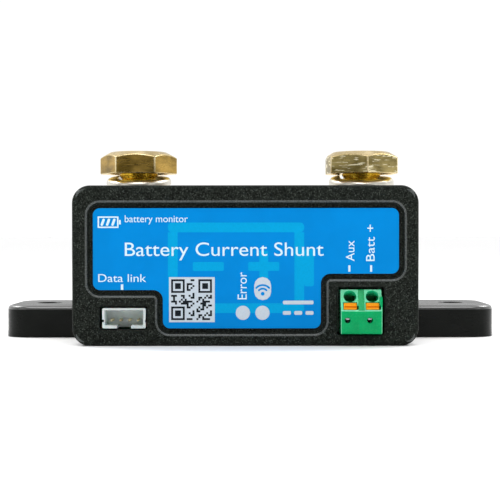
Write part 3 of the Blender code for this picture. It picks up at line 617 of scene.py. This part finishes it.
def hexagon(apothem, phase):
    """A hexagon with slightly round corners and extra points along its flats."""
    corner, along = 0.45, 14
    reach = apothem / cos(radians(30))
    tips = [phase + radians(60 * i) for i in range(6)]
    corners = [(reach * cos(a), reach * sin(a)) for a in tips]
    tight = outline(corners, [corner] * 6, steps=4)
    points = []
    for here, after in zip(tight, tight[1:] + tight[:1]):
        points.append(here)
        gap = (after - here).length
        if gap > 2 * corner:
            points += [here.lerp(after, k / along) for k in range(1, along)]
    return points


def bolt_head(phase, height):
    """A hexagon cut by a cone above; the paints are for its flats, chamfer, corners and underside. The
    chamfer, top and corners are lighter brass for wear and a painted highlight; the underside has the
    shank's saturated brass, a painted reflection.
    """
    flat_radius, apothem = 7.0, 8.5
    reach = apothem / cos(radians(30))
    slope = tan(radians(28))
    hexed = hexagon(apothem, phase)

    def at(share, z_of):
        return [(p.x * share(p), p.y * share(p), z_of(p)) for p in hexed]

    def rim(p):
        return height - (p.length - flat_radius) * slope

    def to(radius):
        return lambda p: radius / p.length

    def inset(distance):
        return lambda p: 1 - distance / p.length

    rings = [
        at(to(4.6), lambda p: 0.0),
        at(inset(0.22), lambda p: 0.0),
        at(inset(0.06), lambda p: 0.06),
        at(lambda p: 1.0, lambda p: 0.24),
        at(lambda p: 1.0, lambda p: rim(p) - 0.30),
        at(inset(0.04), lambda p: rim(p) - 0.12),
        at(inset(0.18), lambda p: rim(p) + 0.03),
        at(to(flat_radius + 0.15), lambda p: height - 0.10),
        at(to(flat_radius - 0.15), lambda p: height - 0.02),
        at(to(flat_radius - 0.4), lambda p: height),
        at(to(3.0), lambda p: height),
    ]
    mesh = skin("bolt_head", rings)
    # corner strips and chamfer get lighter brass (wear and painted highlight), the underside the shank's
    # brass (painted reflection)
    for face in mesh.polygons:
        out = hypot(face.center.x, face.center.y) / MM
        side = 1.0 < face.center.z / MM < height - 2.0
        if side and out > reach - 0.28:
            face.material_index = 2
        elif not side and face.center.z / MM > 0.02:
            face.material_index = 1
        elif face.center.z / MM < 0.02:
            face.material_index = 3
    return mesh


def bolt_thread(major, minor, pitch, top, bottom):
    """A right-hand thread ridge of trapezoid section, run out at both ends."""
    steps, sunk, half_root, half_crest = 40, 0.15, 0.68, 0.10
    total = round((top - bottom) / pitch * steps)
    rings = []
    for i in range(total + 1):
        angle = 2 * pi * i / steps
        z = bottom + pitch * i / steps
        run_out = min(1.0, i / (0.4 * steps), (total - i) / (0.4 * steps))
        crest = minor - 0.12 + (major - minor + 0.12) * run_out
        root = minor - sunk
        section = ((root, -half_root), (crest, -half_crest), (crest, half_crest), (root, half_root))
        rings.append([(r * cos(angle), r * sin(angle), z + dz) for r, dz in section])
    return skin("thread", rings)


def joined(name, meshes):
    """Several closed meshes as one."""
    shape = bmesh.new()
    for mesh in meshes:
        shape.from_mesh(mesh)
    return finished(name, shape)


def make_bolt(end, phase):
    node = f"terminal_bolt_{end}"
    low, high = span(node)
    major, minor, pitch = 4.98, 4.08, 1.5
    length = HEAD_SEAT - low.z
    at = (middle(node).x, middle(node).y, HEAD_SEAT)
    core = turned("core", [(2.9, 0.9 - length), (3.2, 0.3 - length), (4.05, 1.2 - length), (minor, -pitch),
                           (4.75, -0.5), (4.95, 0.15)], sides=48)
    thread = bolt_thread(major, minor, pitch, -0.9, 1.4 - length)
    # the shank's saturated yellow is a painted reflection between head and shank
    shank = put(f"bolt_shank_{end}", joined("bolt_shank", [core, thread]), SHANK_REFLECTION_BRASS, at)
    smooth(shank)
    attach(shank, f"{end}_bolt")
    mesh = bolt_head(phase, high.z - HEAD_SEAT)
    for paint in (HEAD_BRASS[end], WORN_AND_HIGHLIT_BRASS, CORNER_WEAR_AND_HIGHLIGHT_BRASS, SHANK_REFLECTION_BRASS):
        mesh.materials.append(paint)
    hand_over(put(f"bolt_head_{end}", mesh, WORN_AND_HIGHLIT_BRASS, at), node)


def make_flat_washer(end):
    node = f"flat_washer_{end}"
    low, high = span(node)
    thick = high.z - low.z
    outer, inner = 10.0, 5.3
    profile = [(inner + 0.1, 0), (outer - 0.35, 0), (outer - 0.08, 0.12), (outer, 0.4),
               (outer, thick - 0.2), (outer - 0.2, thick), (inner + 0.25, thick), (inner, thick - 0.25),
               (inner, 0.1)]
    mesh = turned("washer", profile, sides=96, loop=True)
    piece = put(f"washer_flat_{end}", mesh, NICKEL, (middle(node).x, middle(node).y, low.z))
    hand_over(piece, node)


def make_spring_washer(end):
    """The split lock washer: a bar wound once, falling from cut to cut, that leans up to the back right."""
    node = f"spring_washer_{end}"
    outer, inner, thick = 8.2, 5.3, 1.9
    rise, fall, sideways, gap = 1.3, 0.8, radians(-2.2), 0.05
    split_x, split_width, end_round = -4.65, 0.9, 0.12
    edge, upper_outer_edge, steps = 0.3, 1.05, 120
    section = outline(rectangle(inner, outer, -thick, 0), [edge, edge, upper_outer_edge, edge], steps=6)
    tilt = Matrix.Rotation(sideways, 3, "Y") @ Matrix.Rotation(atan(rise / outer), 3, "X")
    rings = []
    for i in range(steps + 1):
        share = i / steps
        end_in = end_round * max(0.0, 1 - min(i, steps - i) / 1.5)
        ring = []
        for r, z in section:
            first = acos((split_x - split_width / 2) / r)
            last = acos((split_x + split_width / 2) / r) + 2 * pi
            angle = first + share * (last - first)
            r += end_in * (0.5 * (outer + inner) - r)
            z += end_in * (-0.5 * thick - z) + fall * (0.5 - share)
            ring.append(tilt @ Vector((r * cos(angle), r * sin(angle), z)))
        rings.append(ring)
    top = max(p.z for ring in rings for p in ring)
    bolt = middle(f"terminal_bolt_{end}")
    at = (bolt.x, bolt.y, HEAD_SEAT - gap - top)
    piece = put(f"washer_spring_{end}", skin("spring_washer", rings), SATIN_NICKEL, at)
    hand_over(piece, node)


# ---- housing


HOUSING_LOW, HOUSING_HIGH = span("housing_shell")
FRONT = HOUSING_LOW.y
LABEL_LOW, LABEL_HIGH = span("front_label")
LABEL_STEP_LEFT = (-19.65, 12.6)
LABEL_STEP_RIGHT = (15.95, 16.25)
OPENINGS = {"socket": (-33.81, -23.17, 3.68, 8.94), "clamp": (19.6, 30.1, 2.45, 13.25)}
OPENING_FLARE = ((-PAST, 0.22), (0.0, 0.22), (0.08, 0.08), (0.25, 0.0))
HOUSING_CORNER = 4.0
HOUSING_SIDES = rectangle(HOUSING_LOW.x, HOUSING_HIGH.x, HOUSING_LOW.z, HOUSING_HIGH.z)
FRONT_WALL = 2.4
LIGHT_SPOTS = ("error", "radio")
housing_shape = growing(HOUSING_SIDES, [HOUSING_CORNER] * 4, 16)


def label_shape(grow):
    """The label's stepped outline, grown by a distance."""
    left_x, left_z = LABEL_STEP_LEFT
    right_x, right_z = LABEL_STEP_RIGHT
    corners = [
        (left_x, LABEL_LOW.z), (right_x, LABEL_LOW.z), (right_x, right_z), (LABEL_HIGH.x, right_z),
        (LABEL_HIGH.x, LABEL_HIGH.z), (LABEL_LOW.x, LABEL_HIGH.z), (LABEL_LOW.x, left_z), (left_x, left_z),
    ]
    inward, outward = 2.2, 1.6
    radii = [inward if i in (2, 7) else outward for i in range(8)]
    return outline(corners, radii, grow, steps=10)


def opening(name):
    """A cutter for a connector's opening, flared at the front so that the edge is broken."""
    corners, corner = rectangle(*OPENINGS[name]), 0.45
    rings = []
    for depth, grow in (*OPENING_FLARE, (FRONT_WALL + PAST, 0.0)):
        rings.append(front_view(outline(corners, [corner] * 4, grow, steps=4), FRONT + depth))
    return skin(name, rings)


def on_highlit_rim(at):
    """Whether a face's middle is on the rounded rim of the label's recess."""
    if not FRONT + 0.01 < at.y < FRONT + 0.3:
        return False
    for left, right, bottom, top in OPENINGS.values():
        if left - 0.3 < at.x < right + 0.3 and bottom - 0.3 < at.z < top + 0.3:
            return False
    return HOUSING_LOW.x + 1 < at.x < HOUSING_HIGH.x - 1 and HOUSING_LOW.z + 1 < at.z < HOUSING_HIGH.z - 1


def make_shell():
    mesh = slab("shell", housing_shape, front_view, FRONT, HOUSING_HIGH.y, 0.8, 0.25, 7)
    piece = put("shell_moulding", mesh, GRAINED_BLACK)
    wall, window = 2.0, 1.7
    inside = FRONT + FRONT_WALL
    cavity = skin("cavity", [front_view(housing_shape(-wall), y) for y in (inside, HOUSING_HIGH.y + PAST)])

    depth, margin, rim, foot = 1.2, 1.0, 0.9, 0.12
    levels = [(rim, -PAST), *edge_steps(rim, 8), (0, depth - foot), (-foot, depth)]
    rings = [front_view(label_shape(margin + outward), FRONT + down) for outward, down in levels]
    cutters = [cavity, skin("recess", rings), opening("socket"), opening("clamp")]
    light_hole = turned("light_hole", [(window, FRONT), (window, inside + PAST)], view=front_view, sides=32)
    for name in LIGHT_SPOTS:
        at = middle(f"light_guide_{name}")
        cutters.append((light_hole, (at.x, 0, at.z)))
    carve(piece, cutters)
    # the rounded rim of the label's recess gets the lighter black, a painted highlight along the edge
    piece.data.materials.append(RIM_HIGHLIGHT_BLACK)
    for face in piece.data.polygons:
        if on_highlit_rim(face.center / MM):
            face.material_index = 1
    hand_over(piece, "housing_shell")


def make_back():
    low, high = span("housing_back")
    mesh = slab("back", housing_shape, front_view, low.y, high.y, 0.1, 0.5, 5)
    piece = put("back_cover", mesh, GRAINED_BLACK)
    shank, head, post = 1.5, 2.6, 3.5
    profiles = {
        "housing_screw": [(shank, low.y - PAST), (shank, high.y - (head - shank)), (head, high.y),
                          (head, high.y + PAST)],
        "sense_standoff": [(post, low.y - PAST), (post, high.y - 0.2), (post + 0.3, high.y + 0.1)],
    }
    holes = {name: turned("hole", profile, view=front_view, sides=40) for name, profile in profiles.items()}
    cutters = []
    for i in range(4):
        for name, hole in holes.items():
            at = middle(f"{name}_{i + 1}")
            cutters.append((hole, (at.x, 0, at.z)))
    carve(piece, cutters)
    hand_over(piece, "housing_back")


# ---- label and print


def make_label():
    mesh = slab("label", label_shape, front_view, LABEL_LOW.y, LABEL_HIGH.y, 0.05, 0.0, 2)
    hand_over(put("label_film", mesh, FILM), "front_label")


PATTERN, WORDS, MARKS = 0, 2, 3  # layers of print, from the film outwards
INK = 0.009  # how thick the ink is


def print_level(layer):
    """How far forward a layer of print lies."""
    return LABEL_LOW.y - 0.010 - 0.012 * layer


def print_piece(name, meshes, paint):
    """A layer of print on the label."""
    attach(put(name, joined(name, meshes), paint), "root")


def patch(points, layer):
    """A filled outline as a thin film of ink."""
    top = print_level(layer)
    return skin("patch", [front_view(points, top), front_view(points, top + INK)])


def bars(layer, rows):
    """Bars of ink: each row is left, right, bottom, top and the radius of its corners."""
    return [patch(outline(rectangle(*row[:4]), [row[4]] * 4, steps=3), layer) for row in rows]


def disc(x, z, radius, layer, sides=64):
    return patch([(x + across, z + up) for across, up in circle(radius, sides)], layer)


def stroke(points, width, layer):
    """A line of ink of even width with round ends."""
    path = [Vector(p) for p in points]
    left, right = [], []
    for i, here in enumerate(path):
        along = (path[min(i + 1, len(path) - 1)] - path[max(i - 1, 0)]).normalized()
        side = Vector((-along.y, along.x)) * width / 2
        left.append(here + side)
        right.append(here - side)
    ends = []
    for here, towards in ((path[-1], path[-1] - path[-2]), (path[0], path[0] - path[1])):
        first = atan2(towards.y, towards.x) + pi / 2
        ends.append([here + Vector((cos(first - a), sin(first - a))) * width / 2
                     for a in [pi * k / 8 for k in range(1, 8)]])
    return patch(left + ends[0] + right[::-1] + ends[1], layer)


def lettering(words, left, bottom, cap, width, upright=True):
    """Words as ink: capitals of height cap, fitted to a width, along +X or upwards along +Z."""
    def flat_text(body):
        curve = bpy.data.curves.new("words", "FONT")
        curve.body = body
        curve.resolution_u = 6
        holder = shown("words", curve)
        bpy.context.view_layer.update()
        mesh = bpy.data.meshes.new_from_object(holder.evaluated_get(bpy.context.evaluated_depsgraph_get()))
        bpy.data.objects.remove(holder)
        return mesh

    def reach(mesh, axis):
        values = [v.co[axis] for v in mesh.vertices]
        return min(values), max(values)

    tall = reach(flat_text("H"), 1)[1]
    mesh = flat_text(words)
    start, end = reach(mesh, 0)
    up = cap / tall
    across = width / (end - start)
    top = print_level(WORDS)
    shape = bmesh.new()
    shape.from_mesh(mesh)
    bmesh.ops.remove_doubles(shape, verts=shape.verts, dist=0.0001)
    for v in shape.verts:
        along, rise = (v.co.x - start) * across, v.co.y * up
        x, z = (left + along, bottom + rise) if upright else (left - rise, bottom + along)
        v.co = Vector((x, top, z)) * MM
    grown = bmesh.ops.extrude_face_region(shape, geom=shape.faces[:])
    moved = [g for g in grown["geom"] if isinstance(g, bmesh.types.BMVert)]
    bmesh.ops.translate(shape, verts=moved, vec=(0, INK * MM, 0))
    bmesh.ops.recalc_face_normals(shape, faces=shape.faces)
    return finished("lettering", shape)


def matrix_code(left, bottom, size):
    """A made-up square code that says nothing: three corner marks, the rest by a formula."""
    modules, mark = 21, 7
    cell = size / modules
    far = modules - mark

    def dark(i, j):
        for ci, cj in ((0, 0), (0, far), (far, far)):
            a, b = i - ci, j - cj
            if -1 <= a <= mark and -1 <= b <= mark:
                ring = max(abs(a - mark // 2), abs(b - mark // 2))
                return ring in (0, 1, 3)
        return (i * i * 5 + j * j * 3 + i * j * 7 + (i * 11) % 7 + (j * 5) % 3) % 9 < 4

    meshes = []
    for j in range(modules):
        i = 0
        while i < modules:
            start = i
            while i < modules and dark(i, j):
                i += 1
            if i > start:
                z = bottom + j * cell
                corners = rectangle(left + start * cell, left + i * cell, z, z + cell * 0.995)
                meshes.append(patch(corners, MARKS))
            i += 1
    return meshes


def make_print():
    """All print is generic: it names what the object and each connector is, and no maker."""
    sharp = 0.02
    left, right, bottom, top, line = -18.5, 12.2, 7.4, 27.8, 2.2
    print_piece("print_background", bars(PATTERN, [
        (left, right, top - line, top, 0.9),
        (left, right, bottom, bottom + line, 0.9),
        (left, left + line, bottom + line, top - line, sharp),
        (right - line, right, bottom + line, top - line, sharp),
        (right, right + line, 13.4, 21.8, 0.5),
        (left + 5.6, left + 12.6, 16.9, 18.9, 0.3),
        (right - 12.6, right - 5.6, 16.9, 18.9, 0.3),
        (right - 10.1, right - 8.1, 14.4, 16.9, sharp),
        (right - 10.1, right - 8.1, 18.9, 21.4, sharp),
    ]), PRINT_CYAN)

    pale = [
        lettering("Battery Current Shunt", -28.2, 20.3, 3.0, 44.8),
        lettering("battery monitor", -28.2, 27.9, 1.55, 14.2),
        lettering("Data link", -34.2, 14.45, 1.75, 10.8),
        lettering("Error", -0.75, 10.5, 2.05, 6.1, upright=False),
        lettering("Aux", 23.5, 19.1, 1.9, 4.6, upright=False),
        lettering("Batt +", 28.05, 19.1, 1.9, 8.2, upright=False),
    ]
    left, right, bottom, top, line, corner = -34.3, -29.6, 26.6, 29.2, 0.32, 0.1
    pale += bars(WORDS, [
        (-29.1, -28.55, 12.65, 13.9, sharp),
        (22.15, 22.6, 16.7, 18.15, sharp),
        (27.05, 27.5, 16.7, 18.15, sharp),
        (left, right, top - line, top, corner),
        (left, right, bottom, bottom + line, corner),
        (right + 0.1, right + 0.5, 27.4, 28.4, corner),
    ])
    pale += bars(MARKS, [(x, x + line, bottom, top, corner) for x in (left, right - line)])
    for i in range(3):
        x = left + 0.95 + 1.2 * i
        pale.append(stroke([(x, 27.35), (x + 0.2, 27.9), (x + 0.4, 28.45)], 0.55, WORDS))
    print_piece("print_text", pale, PRINT_PALE)

    dashes = [(7.4 + 2.55 * i, 9.2 + 2.55 * i, 7.0, 7.85, 0.3) for i in range(3)]
    grey = bars(WORDS, [(-18.25, -7.95, 5.35, 15.5, 0.05), (0.95, 4.75, 10.3, 15.5, 1.85),
                        (7.4, 14.3, 9.35, 10.2, 0.3), *dashes])
    for name in LIGHT_SPOTS:
        at = middle(f"light_guide_{name}")
        grey.append(disc(at.x, at.z, 1.6, WORDS))
    print_piece("print_symbols", grey, PRINT_GREY)

    print_piece("print_code", matrix_code(-17.78, 5.83, 9.2), PRINT_DARK)

    x, z, width = 2.85, 11.75, 0.42
    waves = [disc(x, z, width, MARKS, 24)]
    for radius in (1.15, 1.95):
        turns = [radians(90 + a) for a in range(-48, 49, 8)]
        arc = [(x + radius * cos(a), z + radius * sin(a)) for a in turns]
        waves.append(stroke(arc, width, MARKS))
    print_piece("print_radio_waves", waves, FILM)


# ---- connectors


def make_socket():
    """The shrouded header with rounded walls, a key slot below and a notch in each end."""
    low, high = span("data_socket")
    side_wall, foot_wall, top_wall, flare, edge = 0.62, 0.66, 0.5, 0.14, 0.12
    key_half, key_height, half_way = 1.6, 1.1, 0.3
    shape = growing(rectangle(low.x, high.x, low.z, high.z), [0.3] * 4, 4)
    mesh = slab("socket", shape, front_view, low.y, high.y, edge, edge, 3)
    piece = put("socket_shroud", mesh, WHITE_NYLON)
    floor = high.y - 1.6
    mouth = rectangle(low.x + side_wall, high.x - side_wall, low.z + foot_wall, high.z - top_wall)
    rings = [front_view(outline(mouth, [0.25] * 4, grow, steps=3), y)
             for y, grow in ((low.y - PAST, flare), (low.y, flare), (low.y + 0.18, 0.0), (floor, 0.0))]
    pin_z = middle("data_pin_1").z
    centre = (low.x + high.x) / 2
    key = box_mesh("key", (centre - key_half, low.y - PAST, low.z - PAST),
                   (centre + key_half, floor - 0.05, low.z + key_height))
    notch = (low.y - PAST, high.y - 2.5)
    ways = [(low.x, 0.42, *notch), (high.x, 0.18, *notch)]
    ways += [(middle(f"data_pin_{i + 1}").x, half_way, floor - 0.5, high.y + PAST) for i in range(4)]
    cutters = [skin("mouth", rings), key]
    for x, half, front, back in ways:
        low_corner, high_corner = (x - half, front, pin_z - half_way), (x + half, back, pin_z + half_way)
        cutters.append(box_mesh("way", low_corner, high_corner))
    carve(piece, cutters)
    hand_over(piece, "data_socket")
    for i in range(4):
        dress(f"data_pin_{i + 1}", GOLD, 0.2)


CLAMP_LOW, CLAMP_HIGH = span("clamp_body")
CLAMP_RIGHT = CLAMP_LOW.x + 9.24
SLOPE = radians(26.8)
LEAN = (-SLOPE, 0, 0)
LEDGE, LEDGE_STEP = 7.94, 0.25  # the ledge under the slope: its height, and how far it stands out
SLOPE_FOOT = Vector((0, CLAMP_LOW.y + LEDGE_STEP, LEDGE + LEDGE_STEP))
SLOPE_TOP = SLOPE_FOOT.y + (CLAMP_HIGH.z - SLOPE_FOOT.z) * tan(SLOPE)
ENTRY_ALONG, BUTTON_ALONG = 3.35, 0.97  # up the slope, from its foot
FUNNEL_DEPTH = 3.6
TEST_OFFSET = 0.63


def pole_x(end):
    return middle(f"clamp_contact_{end}").x


def on_slope(end, along):
    """A place on the slope, in line with a pole's contact."""
    up_slope = Matrix.Rotation(-SLOPE, 3, "X") @ Vector((0, 0, 1))
    return SLOPE_FOOT + Vector((pole_x(end), 0, 0)) + up_slope * along


def clamp_mesh():
    """The terminal's block: its end edges, ledge and top edge get a lighter green as a painted highlight,
    and its slope a lighter green as painted light from above.
    """
    low, high, end_round = CLAMP_LOW, CLAMP_HIGH, 0.14
    profile = [(low.y + 0.12, low.z), (high.y, low.z), (high.y, high.z), (SLOPE_TOP, high.z),
               (SLOPE_FOOT.y, SLOPE_FOOT.z), (low.y, LEDGE), (low.y, low.z + 1.9)]
    radii = [0.5, 0.2, 0.2, 0.25, 0.08, 0.10, 2.0]
    shape = growing(profile, radii, 4)
    mesh = slab("terminal", shape, side_view, low.x, CLAMP_RIGHT, end_round, end_round, 3)
    for paint in (GREEN_NYLON, EDGE_HIGHLIGHT_GREEN, LIT_SLOPE_GREEN):
        mesh.materials.append(paint)
    for face in mesh.polygons:
        at = face.center / MM
        end = min(at.x - low.x, CLAMP_RIGHT - at.x)
        on_end = 0.001 < end < end_round and at.y < SLOPE_TOP
        on_ledge = LEDGE - 0.02 < at.z < SLOPE_FOOT.z + 0.03 and at.y < SLOPE_FOOT.y + 0.1
        on_top = at.z > high.z - 0.22 and at.y < SLOPE_TOP + 0.1
        # end edges, ledge and top edge get the painted highlight; the slope faces get the painted lit green
        if on_end or ((on_ledge or on_top) and end > 1):
            face.material_index = 1
        elif end > 1 and SLOPE_FOOT.z < at.z < high.z - 0.3 and at.y < SLOPE_TOP:
            face.material_index = 2
    return mesh


def clamp_cutters():
    """The valley between the poles, and each pole's funnel, cage, slot, back cavity and test hole."""
    low, high = CLAMP_LOW, CLAMP_HIGH
    cage_half, cavity_half, slot_half, slot_height = 1.28, 1.9, 1.57, 0.945
    funnel = turned("funnel", [(1.52, -PAST), (1.44, 0.0), (1.40, 0.10), (1.36, 0.8), (1.32, FUNNEL_DEPTH)],
                    view=front_view, sides=48)
    relief = skin("relief", [plan(rectangle(1.4, 1.85, -PAST, 1.6), z) for z in (-0.85, 0.15)])
    slot_shape = outline(rectangle(-slot_half, slot_half, -PAST, 4.2), [0.1] * 4, steps=2)
    slot = skin("button_slot", [plan(slot_shape, z) for z in (-slot_height, slot_height)])
    valley_shape = [(-0.95, -PAST), (0.95, -PAST), (0.62, 0.22), (-0.62, 0.22)]
    valley = skin("valley", [plan(valley_shape, z) for z in (-0.2, 5.6)])
    test_profile = [(0.70, low.y - PAST), (0.68, low.y), (0.62, low.y + 0.1), (0.61, high.y - 1.8)]
    test = turned("test_hole", test_profile, view=front_view, sides=28)
    cutters = [(valley, SLOPE_FOOT + Vector(((low.x + CLAMP_RIGHT) / 2, 0, 0)), LEAN)]
    for end in POLES:
        pole, entry, button = pole_x(end), on_slope(end, ENTRY_ALONG), on_slope(end, BUTTON_ALONG)
        cage = box_mesh("cage", (pole - cage_half, entry.y + 0.5, entry.z - 1.05),
                        (pole + cage_half, high.y - 1.0, entry.z + 0.02))
        cavity = box_mesh("cavity", (pole - cavity_half, high.y - 2.2, 3.6),
                          (pole + cavity_half, high.y + PAST, 9.8))
        cutters += [(funnel, entry, LEAN), cage, (relief, button, LEAN), (slot, button, LEAN), cavity,
                    (test, (pole - TEST_OFFSET, 0, 5.89))]
    left, right = low.x + 3.75, low.x + 3.83
    seam = box_mesh("seam", (left, low.y - PAST, low.z - PAST), (right, low.y + 0.12, LEDGE - 1.4))
    return cutters + [seam]


def in_funnel(at):
    """Whether a face's middle is on the wall of a wire entry."""
    for end in POLES:
        away = Matrix.Rotation(SLOPE, 3, "X") @ (at - on_slope(end, ENTRY_ALONG))
        if 0 < away.y < FUNNEL_DEPTH and 1.25 < hypot(away.x, away.z) < 1.46:
            return True
    return False


def make_clamp():
    """The push-in terminal: round wire funnels over sprung buttons in a sloped face, test holes below."""
    low, high = CLAMP_LOW, CLAMP_HIGH
    tab_half, tab_low, tab_high = 0.38, 6.04, 6.30
    piece = put("terminal_moulding", clamp_mesh(), GREEN_NYLON)
    carve(piece, [box_mesh("rib", (CLAMP_RIGHT - 0.5, low.y + 0.6, LEDGE - 1.0),
                           (CLAMP_RIGHT + 0.1, high.y - 1.0, high.z - 1.6))], "UNION")
    carve(piece, clamp_cutters())
    # the wire funnels' walls get the slope's lighter green, painted light
    for face in piece.data.polygons:
        if in_funnel(face.center / MM):
            face.material_index = 2
    hand_over(piece, "clamp_body")
    for end in POLES:
        make_button(end, on_slope(end, BUTTON_ALONG))
        dress(f"clamp_spring_{end}", STEEL, 0.05)
        dress(f"clamp_contact_{end}", STEEL, 0.05)
        x = pole_x(end) - TEST_OFFSET
        tab = box_mesh("tab", (x - tab_half, low.y + 0.40, tab_low), (x + tab_half, low.y + 0.60, tab_high))
        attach(put(f"test_tab_{end}", tab, STEEL), "root")


def make_button(end, at):
    """An orange push button with a screwdriver groove across its face."""
    half_x, half_z, reach, tuck = 1.45, 0.825, 2.7, 0.10
    groove_left, groove_deep = -1.2, 0.32
    rings = []
    for z, inset in ((-half_z, tuck), (-half_z + tuck, 0.0), (half_z - tuck, 0.0), (half_z, tuck)):
        corners = rectangle(inset - half_x, half_x - inset, inset, reach - inset)
        rings.append(plan(outline(corners, [0.12] * 4, steps=3), z))
    piece = put(f"button_{end}", skin("button", rings), ORANGE_NYLON, at, LEAN)
    groove = rectangle(groove_left, half_x + PAST, -PAST, groove_deep)
    carve(piece, [(skin("groove", [plan(groove, z) for z in (-0.42, -0.02)]), at, LEAN)])
    hand_over(piece, f"release_button_{end}")


# ---- board


CHIPS = ("radio_module", "microcontroller", "sense_amplifier", "voltage_regulator", "power_inductor")


def make_board():
    dress("circuit_board", RESIST, 0.12)
    for i in range(4):
        dress(f"sense_standoff_{i + 1}", BLOCK_BRASS, 0.2)
        dress(f"board_screw_{i + 1}", STEEL, 0.15)
    for name in CHIPS:
        dress(name, EPOXY, 0.1)
    for name in LIGHT_SPOTS:
        dress(f"lamp_{name}", FROSTED, 0.1)
        dress(f"light_guide_{name}", FROSTED, 0.1)


# ---- studio


def make_camera():
    """Just above the label's middle, 285 mm in front of it, nearly level."""
    lens = bpy.data.cameras.new("camera")
    lens.sensor_width = 36.0
    lens.lens = 91.3
    lens.clip_start = 0.01
    lens.clip_end = 50
    camera = shown("camera", lens)
    camera.location = Vector((0, FRONT - 284.9, 25.1)) * MM
    camera.rotation_euler = (radians(89.3), radians(0.05), 0)
    bpy.context.scene.camera = camera


def make_floor():
    reach, thick = 12000, 20.0
    rings = [plan(rectangle(-reach, reach, -reach, reach), z) for z in (-thick, 0.0)]
    floor = put("studio_floor", skin("studio_floor", rings), pale())


def softbox(name, at, size, power):
    """A square lamp that faces the object's middle; its place and size are in metres."""
    lamp = bpy.data.lights.new(name, "AREA")
    lamp.shape = "RECTANGLE"
    lamp.size = lamp.size_y = size
    lamp.energy = power
    holder = shown(name, lamp)
    holder.location = at
    holder.rotation_euler = (Vector((0, 0, 0.02)) - Vector(at)).to_track_quat("-Z", "Y").to_euler()


def make_world():
    """A white studio that is bright behind and above the object and dimmer on the label side."""
    world = bpy.data.worlds.new("studio")
    bpy.context.scene.world = world
    world.use_nodes = True
    nodes, links = world.node_tree.nodes, world.node_tree.links
    nodes["Background"].inputs["Color"].default_value = (1, 1, 1, 1)
    place = nodes.new("ShaderNodeTexCoord")
    parts = nodes.new("ShaderNodeSeparateXYZ")
    ramp = nodes.new("ShaderNodeMapRange")
    for end, value in (("From Min", -0.35), ("From Max", 0.10), ("To Min", 0.05), ("To Max", 1.05)):
        ramp.inputs[end].default_value = value
    links.new(place.outputs["Generated"], parts.inputs["Vector"])
    links.new(parts.outputs["Y"], ramp.inputs["Value"])
    links.new(ramp.outputs["Result"], nodes["Background"].inputs["Strength"])


def make_overhead():
    """A wide soft light from the front and above, the same all over the floor."""
    lamp = bpy.data.lights.new("overhead", "SUN")
    lamp.energy = 1.75
    lamp.angle = radians(40)
    shown("overhead", lamp).rotation_euler = (radians(30), 0, 0)


def make_studio():
    make_camera()
    make_floor()
    make_world()
    make_overhead()
    rows = (("", 0.44, -0.38, 0.24, 0.18, 0.34), ("back_", 0.46, 0.20, 0.52, 0.22, 2.2))
    for row, out, back, up, size, power in rows:
        for side, name in ((-1, "left"), (1, "right")):
            softbox(row + name, (side * out, back, up), size, power)
    bpy.context.scene.view_settings.view_transform = "Standard"


make_studio()
make_base()
make_block_screws()
make_blocks()
make_bolt("battery", radians(-1))
make_bolt("load", radians(-25.4))
for side_name in SIDES:
    make_flat_washer(side_name)
    make_spring_washer(side_name)
make_shell()
make_back()
make_housing_screws()
make_label()
make_print()
make_socket()
make_clamp()
make_board()
